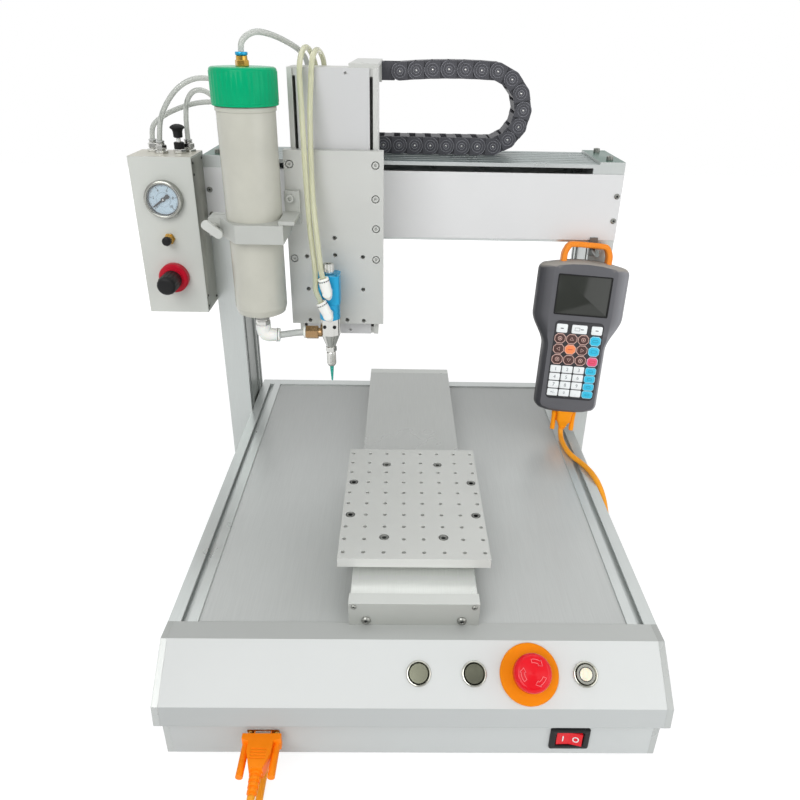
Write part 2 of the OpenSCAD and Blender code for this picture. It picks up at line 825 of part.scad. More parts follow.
module z_screw() {
    color("silver") at_base() translate([head_x, z_screw_y, 0]) {
        rod_z([0, 0, z_low + z_end_t + free_gap], screw_r, z_h - 2 * z_end_t - 2 * free_gap);
        rod_z([0, 0, z_low + z_end_t - 6], journal_r, z_h - 2 * z_end_t + 12);
    }
}

// Z plate's holes, counted from its lower left corner
plate_bolts = [[6.5, 188.5], [6.5, 81.5], [102, 188.5], [102, 151.5], [102.5, 117.5], [102.4, 81.1]];
plate_taps = [[54.3, 106.5], [54.4, 86.1], [21.3, 84.2], [86.8, 84.2], [54.5, 65.5], [21.3, 44.2],
    [86.8, 44.2], [21.6, 4.2], [66.9, 4.9], [87.1, 4]];
plate_corner = [plate_x - plate_half, plate_low];

module z_plate() {
    color("lightgray") at_base() {
        difference() {
            union() {
                block([plate_x - plate_half, plate_y, plate_low],
                    [plate_x + plate_half, plate_y + plate_t, plate_top]);
                for (s = [-1, 1])
                    translate([head_x + s * (z_cover_half + z_slot / 2), 0, 0])
                        block([-z_arm_t / 2, plate_y + plate_t - 1, z_arm_low],
                            [z_arm_t / 2, z_front + 14, z_arm_low + z_arm_h]);
                block([head_x - z_cover_half - z_slot / 2 - z_arm_t / 2, z_front + 8, z_arm_low],
                    [head_x + z_cover_half + z_slot / 2 + z_arm_t / 2, z_rear - z_back_t - 1,
                    z_arm_low + z_arm_h]);
            }
            for (p = plate_bolts) {
                rod_y([plate_corner.x + p.x, plate_y - 1, plate_corner.y + p.y], 4.6, 5.5);
                rod_y([plate_corner.x + p.x, plate_y - 1, plate_corner.y + p.y], 2.1, plate_t);
            }
            for (p = plate_taps)
                rod_y([plate_corner.x + p.x, plate_y - 1, plate_corner.y + p.y], 2.5, plate_t);
            rod_z([head_x, z_screw_y, z_arm_low - 1], screw_r + run_gap, z_arm_h + 2);
            for (s = [-1, 1])
                translate([head_x + s * z_guide_x, 0, 0])
                    block([-z_guide_w / 2 - free_gap, z_rear - z_back_t - z_guide_d - free_gap,
                        z_arm_low - 1], [z_guide_w / 2 + free_gap, z_rear, z_arm_low + z_arm_h + 1]);
        }
        for (p = plate_bolts)
            translate([plate_corner.x + p.x, plate_y + 4.5, plate_corner.y + p.y])
                rotate([90, 0, 0]) cap_screw(4, 0);
    }
}

// Clamp ring around the barrel, open behind the wing knob's bolt, with its arm on the Z plate
module clamp_outline() {
    difference() {
        polygon(clamp_k * [[-14.5, -40], [37, -40], [37, 23.8], [31, 23.8], [27, 34], [0, 42], [-34, 38],
            [-36.5, 20], [-50.5, 20], [-50.5, -6], [-37.5, -6], [-34.5, -10]]);
        circle(clamp_r);
        translate(clamp_k * [-60, 8.5]) square([clamp_k * 66 - clamp_r, 2.5]);
    }
}

module barrel_clamp() {
    color("silver") at_base() {
        difference() {
            translate([barrel_x, barrel_y, clamp_low]) linear_extrude(clamp_h) clamp_outline();
            rod_y([wing_x, barrel_y - clamp_h, wing_z], wing_bolt_r + run_gap, 3 * clamp_h);
        }
        translate([wing_x, barrel_y + 20 * clamp_k, wing_z]) rotate([-90, 0, 0]) difference() {
            cylinder(r = 2 * wing_bolt_r, h = 3.6, $fn = 6);
            translate([0, 0, -1]) cylinder(r = wing_bolt_r + run_gap, h = 6);
        }
        block([arm_left, clamp_front + 4, clamp_low + clamp_h],
            [arm_left + arm_w, plate_y, clamp_low + clamp_h + 4]);
        block([arm_left, plate_y - 10, clamp_low + 9], [arm_left + arm_w, plate_y, clamp_low + 46]);
        translate([plate_corner.x + 7, plate_y - 10, clamp_low + 38.5]) rotate([90, 0, 0]) cap_screw(5, 0);
    }
}

module wing_knob() {
    color("silver") at_base() translate([wing_x, barrel_y, wing_z]) {
        rod_y([0, -12, 0], wing_bolt_r, 12 + 25 * clamp_k);
        rod_y([0, -22, 0], 5, 15.6);
        translate([0, -19, 0]) rotate([0, wing_turn, 0]) difference() {
            rotate([90, 0, 0]) linear_extrude(4, center = true) rounded(26, 10, 4.9);
            for (s = [-1, 1]) rod_y([s * 8.6, -6, 0], 1.6, 12);
        }
    }
}

// Glue barrel: a wall turned from its mouth down to the domed outlet
module glue_barrel() {
    top_r = barrel_d / 2 - 2;
    low_r = barrel_d / 2 - barrel_taper - 0.3;
    dome = barrel_dome;
    color("ivory", 0.8) at_base() translate([barrel_x, barrel_y, 0]) rotate_extrude()
        polygon(concat(
            [[4, barrel_low - dome], [7, barrel_low - dome]],
            [[low_r - 8, barrel_low - dome + 3], [low_r - 2, barrel_low - 3], [low_r, barrel_low + 4]],
            [[low_r, clamp_low - 5], [clamp_r - 0.1, clamp_low], [clamp_r - 0.1, clamp_low + clamp_h]],
            [[top_r + 1, barrel_top - 6], [top_r + 2, barrel_top - 5], [top_r + 2, barrel_top - 1]],
            [[top_r - 1, barrel_top - 1], [top_r - 1, barrel_top + 20],
                [top_r - 1 - barrel_wall, barrel_top + 20]],
            [[top_r - 1 - barrel_wall, barrel_top - 6], [clamp_r - 0.1 - barrel_wall, clamp_low]],
            [[low_r - barrel_wall, barrel_low + 4], [low_r - 4, barrel_low - 1], [4, barrel_low - 4]]));
}

// Screw cap with grip ribs, its brass inlet and the blue release ring
module barrel_cap() {
    rib = 1.6;
    inner = barrel_d / 2 - 3 + free_gap;
    color("seagreen") at_base() translate([barrel_x, barrel_y, barrel_top]) {
        difference() {
            union() {
                cylinder(d = cap_d - rib, h = cap_h - 2);
                translate([0, 0, cap_h - 2]) cylinder(d1 = cap_d - rib, d2 = cap_d - rib - 4, h = 2);
                for (i = [0 : 39]) rotate(i * 9)
                    translate([cap_d / 2 - rib / 2, 0, 0]) cylinder(d = rib, h = cap_h - 4, $fn = 8);
            }
            translate([0, 0, -1]) cylinder(r = inner, h = cap_h - 10);
            translate([0, 0, cap_h - 12]) cylinder(d = 8.4, h = 20);
        }
        translate([0, 0, cap_h]) difference() {
            union() {
                cylinder(d = 14, h = 6, $fn = 6);
                translate([0, 0, 6]) cylinder(d = 11.5, h = 4);
                translate([0, 0, 10]) cylinder(d = 12.6, h = 3.4);
            }
            translate([0, 0, -1]) cylinder(r = tube_d / 2 + tube_fit, h = 20);
        }
    }
}

// Valve: mounting block on the Z plate, blue air cylinder and stroke bush
module valve_body() {
    color("deepskyblue") at_base() {
        difference() {
            union() {
                translate([valve_x, valve_y, body_low + 20]) linear_extrude(body_high - body_low - 20)
                    rounded(valve_d, valve_d, 6);
                rod_z([valve_x, valve_y, body_low], valve_d / 2 - 1, 20);
                block([valve_x - 9, valve_y + valve_d / 2 - 2, body_low + 26],
                    [valve_x + 9, plate_y, body_low + 46]);
                for (z = [elbow_low_z, elbow_high_z])
                    rod_y([valve_x, valve_y - port_reach, z], 6, port_reach - 4);
            }
            for (z = [elbow_low_z, elbow_high_z])
                rod_y([valve_x, valve_y - port_reach - 1, z], elbow_stub_r, port_reach);
            for (s = [-1, 1])
                rod_z([valve_x + s * valve_d / 3, valve_y - valve_d / 3, body_high - 4], 1.6, 6);
            rod_z([valve_x, valve_y, body_high - 14], stroke_stem_r + run_gap, 20);
        }
    }
}

module stroke_knob() {
    color("silver") at_base() translate([valve_x, valve_y, body_high]) {
        difference() {
            translate([0, 0, 1]) cylinder(d = stroke_d, h = stroke_h);
            for (i = [0 : 15]) rotate(i * 22.5)
                translate([stroke_d / 2 + 0.2, 0, 3]) cylinder(d = 1, h = 12, $fn = 6);
            translate([0, 0, stroke_h - 2]) cylinder(d = stroke_d / 2, h = 5, $fn = 6);
        }
        translate([0, 0, -10]) cylinder(r = stroke_stem_r, h = 12);
    }
}

// Steel fluid body with its side inlet, the hexagon collar and the luer nut with its flats
module fluid_section() {
    color("silver") at_base() difference() {
        union() {
            translate([valve_x, valve_y, 0]) rotate_extrude() polygon([[0, fluid_low],
                [luer_r - 1.4, fluid_low], [luer_r, fluid_low + 2.5], [luer_r, cone_low - 7],
                [luer_r - 0.7, cone_low - 6], [luer_r - 0.7, cone_low], [fluid_d / 2, cone_top],
                [fluid_d / 2, body_low], [0, body_low]]);
            translate([valve_x, valve_y, cone_low - 5]) cylinder(r = collar_r, h = 5.5, $fn = 6);
            rod_x([valve_x - 13.4, valve_y, feed_z], 5, 6);
        }
        rod_x([valve_x - 14, valve_y, feed_z], 3.1, 10);
        rod_z([valve_x, valve_y, fluid_low - 1], 2.05, 12);
        for (x = [-1, 1]) rod_y([valve_x + x * 5.8, valve_y - fluid_d / 2 - 1, body_low - 8], 1.7, 5);
        for (i = [0 : 7]) translate([valve_x, valve_y, fluid_low + 4]) rotate(i * 45)
            rod_z([luer_r + 0.5, 0, 0], 1, 10);
    }
}

module needle_tip() {
    color("lightseagreen") at_base() translate([valve_x, valve_y, 0]) rotate_extrude()
        polygon([[0.3, tip_end], [1, tip_end], [2.6, fluid_low], [1.95, fluid_low], [1.95, fluid_low + 9],
            [1.2, fluid_low + 9], [1.2, fluid_low]]);
}

// Feed line: outlet with its chrome nut, white elbow, clear tube and brass nut at the valve
module feed_line() {
    barrel_foot = barrel_low - barrel_dome;
    color("white") at_base() {
        difference() {
            union() {
                rod_z([barrel_x, barrel_y, nut_low + nut_h], 6.2, barrel_foot - nut_low - nut_h);
                translate([barrel_x, barrel_y, nut_low]) cylinder(r = spout_r - 0.5, h = nut_h, $fn = 6);
                translate([barrel_x, barrel_y, 0]) rotate_extrude() polygon([[0, spout_z - 10.5],
                    [spout_r - 2.5, spout_z - 10.5], [spout_r, spout_z - 8], [spout_r, nut_low - 1],
                    [spout_r - 1, nut_low], [0, nut_low]]);
                rod_x([barrel_x, barrel_y, spout_z], spout_r - 1.4, 2 * spout_r);
                rod_x([barrel_x + 2 * spout_r - 2.4, barrel_y, spout_z], spout_r - 1, 1.2);
            }
            rod_z([barrel_x, barrel_y, spout_z], 3, 60);
            rod_x([barrel_x + spout_r + 1, barrel_y, spout_z], feed_tube_d / 2 + tube_fit, spout_r + 1);
        }
        swept_tube(curve([[barrel_x + spout_r + 3, barrel_y, spout_z], [barrel_x + 18, barrel_y, spout_z],
            [barrel_x + 27, barrel_y - 1, spout_z + 1.5], [valve_x - 38, valve_y + 0.5, feed_z - 0.8],
            [valve_x - 28, valve_y, feed_z]], 2), feed_tube_d, 12);
        translate([valve_x - 29.4, valve_y, feed_z]) rotate([0, 90, 0])
            cylinder(r = spout_r - 0.7, h = 16, $fn = 6);
        rod_x([valve_x - 31, valve_y, feed_z], spout_r - 2.4, 2);
    }
}

// White push-in elbow at the front of the valve, its mouth up and leaning to the left
module air_elbow(z, lean) {
    translate([valve_x, valve_y, z]) {
        rod_y([0, -elbow_reach, 0], 5.4, elbow_reach - port_reach);
        rod_y([0, -port_reach, 0], elbow_stub_r, 8);
        translate([0, -elbow_reach, 0]) rotate([0, -lean, 0]) difference() {
            union() {
                translate([0, 0, -7]) cylinder(d1 = 4, d2 = 11.4, h = 6);
                translate([0, 0, -1]) cylinder(d = 11.4, h = 10);
                translate([0, 0, 9]) cylinder(d = 12.4, h = elbow_mouth - 12);
                translate([0, 0, elbow_mouth - 3.4]) cylinder(d = 11.2, h = 0.8);
                translate([0, 0, elbow_mouth - 2.8]) cylinder(d = 12.4, h = 2.8);
            }
            translate([0, 0, 6]) cylinder(r = tube_d / 2 + tube_fit, h = 20);
        }
    }
}

module air_elbows() {
    color("white") at_base() {
        air_elbow(elbow_low_z, low_lean);
        air_elbow(elbow_high_z, high_lean);
    }
}

// Routes of the tubes, chosen by hand; the first and last points sit in their fittings
function mouth(z, lean, l) = [valve_x - l * sin(lean), valve_y - elbow_reach, z + l * cos(lean)];
function routed(p, dz) = [for (q = p) [head_x + q.x, z_front + q.y, q.z + dz]];
beam_end_route = routed([[0, 73, 91.3], [0, 73, 70.3], [0, 73, 25.3], [0, 73, -8.7]], gantry_h);
function down_to(x, p) = concat(p, [for (q = beam_end_route) [x, q.y, q.z]]);
cap_route = down_to(grommet_x[0], concat(
    [for (q = [[0, 0, 6], [0, 0, 15.5], [1.5, 1, 23], [7.5, 6, 29], [15.5, 13, 31.5]])
        [barrel_x, barrel_y, barrel_top + cap_h] + q],
    routed([[-61.75, -12, 30.5], [-51.75, 7, 25.5], [-41.75, 27, 18.5], [-35.75, 47, 10.5],
        [-33.75, 62, 0.5]], z_top)));
low_route = down_to(grommet_x[1], concat(
    [mouth(elbow_low_z, low_lean, 10), mouth(elbow_low_z, low_lean, 19.5)],
    [for (q = [[-13.2, -20, 8], [-13.2, -17.4, 19], [-14, -14, 36], [-18.5, -3, 71], [-21.5, 6, 114]])
        [valve_x, valve_y, elbow_high_z - 5.6] + q],
    routed([[-29.75, -32, -79.5], [-31.75, -22, -33.5], [-33.75, -8, -1.5], [-32.75, 12, 14.5],
        [-29.75, 30, 18.5], [-26.75, 50, 11.5], [-24.75, 66, -1.5]], z_top)));
high_route = down_to(grommet_x[2], concat(
    [mouth(elbow_high_z, high_lean, 10), mouth(elbow_high_z, high_lean, 19.5)],
    [for (q = [[-6.4, -20.6, 32], [-8, -16.5, 46], [-11.2, -7, 71], [-13.6, 1, 91], [-15.5, 8, 116]])
        [valve_x, valve_y, elbow_high_z - 5.6] + q],
    routed([[-23.05, -28, -79.5], [-22.75, -20, -38.5], [-22.05, -7.5, -11.5], [-21.25, -5.5, 0.5],
        [-20.25, 3, 10.5], [-18.25, 16, 16], [-16.75, 38, 14.5], [-14.75, 58, 4.5]], z_top)));

module air_tubes() {
    color("gainsboro", 0.6) at_base()
        for (p = [cap_route, low_route, high_route]) swept_tube(curve(p, 2), tube_d, 8);
}

// One link from its rear pin at the origin to its front pin one pitch along X. At the rear the
// set-in tab turns on the pin of the link behind; at the front the round outer plate carries the
// pin. The bend's inner side is up: there the neck and the short bar leave room to turn
module link_neck(l, hole) {
    translate([0, link_wall, 0]) rotate([90, 0, 0]) linear_extrude(link_wall - layer - layer_gap)
        difference() {
            union() {
                circle(tab_r);
                polygon([[0, -link_r], [l, -link_r], [l, link_r], [neck_in, link_r], [neck_in - 1.8, tab_r],
                    [0, tab_r]]);
            }
            circle(hole);
        }
}

module round_plate() {
    difference() {
        intersection() {
            rod_y([0, 0, 0], link_r, layer);
            block([-link_r / 2, -1, -link_r - 1], [link_r + 1, layer + 1, link_r + 1]);
        }
        difference() {
            rod_y([0, -1, 0], link_r - 3.1, 1.4);
            rod_y([0, -1, 0], link_r - 3.7, 1.4);
        }
    }
    difference() {
        rod_y([0, -0.6, 0], head_r, link_wall - 0.1 + 0.6);
        rod_y([0, -1, 0], pin_r - 1.4, 1.4);
    }
}

module link_side(hole, $fn = 20) {
    link_neck(link_pitch - tab_start, hole);
    block([link_pitch - outer_end, 0, -link_r], [link_pitch, layer, link_r]);
    block([link_pitch - outer_end, 0, -link_r], [link_pitch - tab_start, link_wall, link_r]);
    translate([link_pitch, 0, 0]) round_plate();
}

module chain_link(loose = false) {
    hole = pin_gap + (loose ? head_r : pin_r);
    link_side(hole);
    translate([0, chain_w, 0]) mirror([0, 1, 0]) link_side(hole);
    side = layer + layer_gap;
    block([bar_start, side, link_r - bar_t], [inner_bar, chain_w - side, link_r]);
    block([bar_start, side, -link_r], [link_pitch - bar_start, chain_w - side, bar_t - link_r]);
}

// Pins of the bend, summed up from equal turns, and those of the slightly arched upper run
function bend_pin(k) = k == 0 ? [bend_x, lower_pin]
    : bend_pin(k - 1) + link_pitch * [cos(turn * k), sin(turn * k)];
upper_pin = bend_pin(bend_links).y;
function arch(i) = arch_turn * (i - 1.86);
function run_pin(i) = i == 0 ? [bend_x, upper_pin]
    : run_pin(i - 1) - link_pitch * [cos(arch(i - 1)), sin(arch(i - 1))];
last_pin = run_pin(upper_links);

module chain_lower_run() {
    color("dimgray") at_base() {
        for (i = [0 : lower_links - 1])
            translate([anchor_x + i * link_pitch, chain_y, lower_pin]) chain_link();
        block([anchor_x - anchor_l, chain_y, gantry_h],
            [anchor_x - link_r - layer_gap, chain_y + chain_w, gantry_h + 3]);
        for (s = [0, 1]) translate([anchor_x, chain_y + s * chain_w, lower_pin]) mirror([0, s, 0]) {
            block([-anchor_l, 0, -link_r], [0, layer, link_r]);
            round_plate();
        }
    }
}

module chain_bend() {
    color("dimgray") at_base()
        for (k = [1 : bend_links])
            translate([bend_pin(k - 1).x, chain_y, bend_pin(k - 1).y]) rotate([0, -turn * k, 0])
                chain_link(k == 1);
}

module chain_upper_run() {
    end_x = head_x + z_half;
    color("dimgray") at_base() {
        for (i = [0 : upper_links - 1])
            translate([run_pin(i).x, chain_y, run_pin(i).y]) rotate([0, 180 - arch(i), 0]) chain_link(i == 0);
        for (s = [0, 1])
            translate([last_pin.x, chain_y + s * chain_w, last_pin.y]) mirror([0, s, 0])
                rotate([0, 180, 0]) link_neck(last_pin.x - end_x, pin_r + pin_gap);
        block([end_x, chain_y + layer + layer_gap, last_pin.y - link_r],
            [end_x + 3, chain_y + chain_w - layer - layer_gap, last_pin.y + link_r]);
    }
}

// Hook on the right column for the pendant's handle
hook_x = half_w + 4;
hook_tip_y = pend_at.y + 51;
hook_z = pend_at.z + 239.8;
module pendant_hook() {
    color("dimgray") at_base() {
        block([hook_x - 5, gantry_y - 3, hook_z - 8], [hook_x + 5, gantry_y, hook_z + 16]);
        block([hook_x - 5, gantry_y, hook_z - 8], [hook_x + 5, beam_y, beam_slot_low - beam_cover_h - 0.2]);
        rod_y([hook_x, hook_tip_y, hook_z], 3, gantry_y - hook_tip_y);
        rod_z([hook_x, hook_tip_y + 3.2, hook_z], 2.8, 6.5);
    }
}

module control_box() {
    color("whitesmoke") at_base() difference() {
        block([box_left, box_front, box_low], [box_right, box_front + box_d, box_top]);
        block([box_left + sheet_t, box_front + sheet_t, box_low + sheet_t],
            [box_right - sheet_t, box_front + box_d - sheet_t, box_top - sheet_t]);
        rod_y([gauge_x, box_front - 1, gauge_z], 7.1, 4);
        rod_y([gauge_x, box_front - 1, needle_valve_z], 4.1, 4);
        rod_y([gauge_x, box_front - 1, regulator_z], 9.1, 4);
        rod_z([pull_at.x, pull_at.y, box_top - 3], 5.1, 4);
    }
}

// Gauge: bezel with its case, dial and window
module pressure_gauge() {
    color("silver") at_base() translate([gauge_x, box_front, gauge_z]) rotate([90, 0, 0]) {
        rotate_extrude() polygon([[0, -8], [7, -8], [7, 0], [gauge_d / 2, 0], [gauge_d / 2, 7],
            [gauge_d / 2 - 1.5, 9], [gauge_d / 2 - 3.4, 9], [gauge_d / 2 - 3.4, 4.6], [0, 4.6]]);
        translate([0, 0, 4.6]) cylinder(d = 2, h = 1.4);
        translate([0, 0, 7.8]) cylinder(r = gauge_d / 2 - 3.4, h = 0.8);
    }
}

module gauge_needle() {
    color("black") at_base() translate([gauge_x, box_front - 6.2, gauge_z]) rotate([90, 235, 0])
        linear_extrude(0.6) difference() {
            union() {
                circle(2.4);
                polygon([[-2.6, -7], [2.6, -7], [0.35, 15.5], [-0.35, 15.5]]);
            }
        }
}

module regulator_body() {
    color("crimson") at_base() translate([gauge_x, box_front, regulator_z]) rotate([90, 0, 0]) {
        rotate_extrude() polygon([[0, -12], [9, -12], [9, 0], [18.35, 0], [18.35, 8], [17, 10], [13, 10],
            [13, 12], [0, 12]]);
    }
}

module regulator_knob() {
    color("black") at_base() translate([gauge_x, box_front - 12.4, regulator_z]) rotate([90, 0, 0])
        difference() {
            union() {
                cylinder(d = 24.5, h = 27);
                translate([0, 0, 27]) cylinder(d1 = 24.5, d2 = 21.5, h = 2.6);
            }
            for (i = [0 : 17]) rotate(i * 20) translate([12.7, 0, 3]) cylinder(d = 1.8, h = 40, $fn = 8);
        }
}

module needle_valve_knob() {
    color("goldenrod") at_base() translate([gauge_x, box_front - 9.2, needle_valve_z]) rotate([90, 0, 0])
        difference() {
            cylinder(d = 7.6, h = 8);
            for (i = [0 : 11]) rotate(i * 30) translate([4, 0, 1]) cylinder(d = 0.8, h = 10, $fn = 6);
        }
}

// Fittings on the box: needle valve bush, push-in fittings, pull knob socket
module push_fitting(d) {
    difference() {
        union() {
            cylinder(d = 13, h = 4, $fn = 6);
            translate([0, 0, 4]) cylinder(d = 11, h = 8);
            translate([0, 0, 12]) cylinder(d = 9, h = 2.5);
        }
        translate([0, 0, 2]) cylinder(d = d + 2 * tube_fit, h = 20);
    }
}

module box_fittings() {
    color("goldenrod") at_base() {
        translate([bulkhead.x, bulkhead.y, box_top]) push_fitting(tube_d);
        translate([fitting_at.x, fitting_at.y, box_top]) push_fitting(tube_d);
        translate([side_fitting.x, side_fitting.y, box_top]) push_fitting(tube_d);
        for (x = beam_fitting_x) translate([x, beam_y + 13, gantry_h]) push_fitting(tube_d);
        translate([pull_at.x, pull_at.y, box_top]) difference() {
            union() {
                translate([0, 0, -6]) cylinder(d = 10, h = 6);
                cylinder(d = 15, h = 5, $fn = 6);
                translate([0, 0, 5]) cylinder(d = 12, h = 9);
            }
            translate([0, 0, -7]) cylinder(r = 3 + run_gap, h = 30);
        }
        translate([gauge_x, box_front, needle_valve_z]) rotate([90, 0, 0]) {
            translate([0, 0, -8]) cylinder(d = 8, h = 8);
            cylinder(d = 12, h = 4, $fn = 6);
            translate([0, 0, 4]) cylinder(d = 6, h = 4.8);
        }
    }
}

module pull_knob() {
    color("black") at_base() translate([pull_at.x, pull_at.y, box_top]) {
        translate([0, 0, -5]) cylinder(r = 3, h = 28);
        translate([0, 0, 19]) cylinder(d1 = 12, d2 = 15, h = 6);
        translate([0, 0, 25]) cylinder(d = 15, h = 6);
        translate([0, 0, 31]) cylinder(d1 = 15, d2 = 11, h = 2.5);
    }
}

// Box tubes, over behind the barrel to the fittings on the beam's end
fit_top = 15;
function box_tube(from, between, x) = concat([from + [0, 0, 4], from + [0, 0, fit_top + 2]],
    [for (q = between) [box_right, box_front, gantry_h] + q],
    [[x, beam_y + 13, gantry_h + fit_top + 2], [x, beam_y + 13, gantry_h + 4]]);
box_tube_a = box_tube([bulkhead.x, bulkhead.y, box_top], [[-37.5, 28, 47.3], [-27, 29, 66.3],
    [-13, 30, 81.3], [4, 33, 90.3], [22, 37, 91.3], [42, 44, 85.3], [60, 51, 71.3], [71, 58, 51.3],
    [73.8, 62, 33]], beam_fitting_x[2]);
box_tube_b = box_tube([fitting_at.x, fitting_at.y, box_top], [[-12, 43.5, 47.3], [-8.6, 43.5, 65.3],
    [0, 44, 76.3], [12, 46, 77.3], [24, 50, 68.3], [35, 55, 51.3], [44.5, 61, 33]], beam_fitting_x[0]);
box_tube_c = box_tube([side_fitting.x, side_fitting.y, box_top], [[-51, 41, 39], [-34, 43, 51.3],
    [-14, 54, 59.3], [6, 60, 63.3], [26, 63, 62.3], [44, 64, 53.3], [56.8, 64.5, 37]], beam_fitting_x[1]);

module box_tubes() {
    color("gainsboro", 0.6) at_base()
        for (p = [box_tube_a, box_tube_b, box_tube_c]) swept_tube(curve(p, 2), tube_d, 8);
}

// Button bezels on the slope, D-sub socket, rocker bezel and the power inlet at the rear
module panel_fittings() {
    color("silver") at_base() {
        for (x = [start_x, reset_x, lit_x]) on_slope(x) difference() {
            union() {
                cylinder(d = bezel_d, h = bezel_h - 0.6);
                translate([0, 0, bezel_h - 0.6]) cylinder(d1 = bezel_d, d2 = bezel_d - 1.6, h = 0.6);
                translate([0, 0, -button_len]) cylinder(d = button_barrel - 0.2, h = button_len);
            }
            translate([0, 0, -button_h - 3]) cylinder(d = button_d + 2 * free_gap, h = 20);
        }
        difference() {
            union() {
                translate([rocker_x, 0, rocker_z]) rotate([90, 0, 0]) linear_extrude(2.5)
                    rounded(rocker_w, rocker_h, 2);
                block([rocker_x - rocker_hole_w / 2 + 0.1, 0, rocker_z - rocker_hole_h / 2 + 0.1],
                    [rocker_x + rocker_hole_w / 2 - 0.1, 24, rocker_z + rocker_hole_h / 2 - 0.1]);
            }
            block([rocker_x - 13, -3, rocker_z - 8.5], [rocker_x + 13, 14, rocker_z + 8.5]);
        }
        difference() {
            translate([dsub_x, -0.5, dsub_z]) cube([dsub_w, 1, dsub_h], center = true);
            block([dsub_x - 8.5, -2, dsub_z - 4], [dsub_x + 8.5, 1, dsub_z + 4]);
        }
        translate([inlet_x, base_d - sheet_t - 16, inlet_z]) difference() {
            union() {
                translate([0, 9, 0]) cube([inlet_w - 0.4, 18, inlet_h - 0.4], center = true);
                translate([0, sheet_t + 16 + flange_t / 2, 0])
                cube([inlet_w + 12, flange_t, inlet_h + 4], center = true);
            }
            translate([0, 14, 0]) cube([inlet_w - 5, 16, inlet_h - 6], center = true);
        }
    }
}

module push_button() {
    cylinder(d = button_d, h = bezel_h + 0.2 + button_h);
}

module start_button() {
    color("silver") at_base() on_slope(start_x) translate([0, 0, -button_h]) push_button();
}

module reset_button() {
    color("silver") at_base() on_slope(reset_x) translate([0, 0, -button_h]) push_button();
}

module lit_button() {
    color("silver") at_base() on_slope(lit_x) translate([0, 0, -button_h]) push_button();
}

module estop_ring() {
    color("orange") at_base() on_slope(estop_x) difference() {
        union() {
            cylinder(d = estop_ring_d, h = ring_t - 1);
            translate([0, 0, ring_t - 1]) cylinder(d1 = estop_ring_d, d2 = estop_ring_d - 2, h = 1);
            cylinder(d = 28, h = estop_neck - estop_travel - 1);
            translate([0, 0, -24]) cylinder(d = 21.6, h = 24);
        }
        translate([0, 0, -20]) cylinder(d = estop_stem_d + 2 * run_gap, h = 40);
    }
}

module estop_head() {
    color("red") at_base() on_slope(estop_x) rotate_extrude() polygon(concat(
        [[0, -14], [estop_stem_d / 2, -14], [estop_stem_d / 2, estop_neck]],
        [[estop_head_d / 2 - 3, estop_neck], [estop_head_d / 2, estop_neck + 3]],
        arc_points([estop_head_d / 2 - 5, estop_neck + estop_h - 6], 5, 0, 80, 6),
        [[0, estop_neck + estop_h]]));
}

module rocker_paddle() {
    color("red") at_base() translate([rocker_x, rocker_pivot_y, rocker_z]) rotate([0, 0, -rocker_tilt]) {
        linear_extrude(16, center = true)
            polygon([[-12, -4], [0, -2.4], [12, -4], [12, 2], [0, 6], [-12, 2]]);
        cylinder(r = 1.5, h = 16.6, center = true);
    }
}

module frame_screws() {
    color("gray") at_base() {
        both_sides() {
            for (y = [beam_y + 18, beam_rear - 18])
                translate([half_w + col_w / 2, y, gantry_h + cap_plate_t]) cap_screw(5, 0);
            for (z = [gantry_h - 38.7, gantry_h - 70.2])
                translate([col_out - 5.6, gantry_y, z]) rotate([90, 0, 0]) button_screw(4);
            translate([y_half - 3.5, y_block_y, y_top - 4]) rotate([90, 0, 0]) button_screw(3);
            translate([y_half - 15, y_block_y, base_h + 6]) rotate([90, 0, 0]) button_screw(5);
        }
    }
}

// Pendant frame: origin at the boot's front lower edge, leaning and rolled as it hangs
module on_pendant() {
    translate(pend_at) rotate([-pend_tilt, 0, 0]) rotate([0, pend_roll, 0]) children();
}

function ease(t) = t * t * (3 - 2 * t);
pend_side = concat(
    [[0, pend_low]],
    arc_points([pend_grip - 12, pend_low + 15], 12, -70, 0, 6),
    [for (i = [0 : 8]) [pend_grip + (pend_head - pend_grip) * ease(i / 8),
        pend_neck + (pend_wide - pend_neck) * i / 8]],
    arc_points([pend_head - 10, pend_shoulder], 10, 0, 80, 6),
    [[0, pend_crown]]);
pend_outline = concat(pend_side, [for (i = [len(pend_side) - 2 : -1 : 1]) [-pend_side[i].x, pend_side[i].y]]);

module pendant_shell() {
    mid = [0, 134];
    color("dimgray") at_base() on_pendant() difference() {
        union() {
            translate([0, pend_t - 4, 0]) rotate([90, 0, 0])
                linear_extrude(pend_t - 4 - pend_bevel) polygon(pend_outline);
            translate([0, pend_bevel, 0]) rotate([90, 0, 0]) translate(mid)
                linear_extrude(pend_bevel, scale = [0.93, 0.975], slices = 1)
                    translate(-mid) polygon(pend_outline);
            translate([0, pend_t - 4, 0]) rotate([-90, 0, 0]) mirror([0, 1, 0]) translate(mid)
                linear_extrude(4, scale = [0.88, 0.95], slices = 1) translate(-mid) polygon(pend_outline);
        }
        translate([0, -1, screen_v]) rotate([-90, 0, 0]) linear_extrude(3)
            square([screen_w + 0.4, screen_h + 0.4], center = true);
    }
}

module pendant_screen() {
    color("darkslategray") at_base() on_pendant() translate([0, 1, screen_v])
        rotate([-90, 0, 0]) linear_extrude(1) square([screen_w, screen_h], center = true);
}

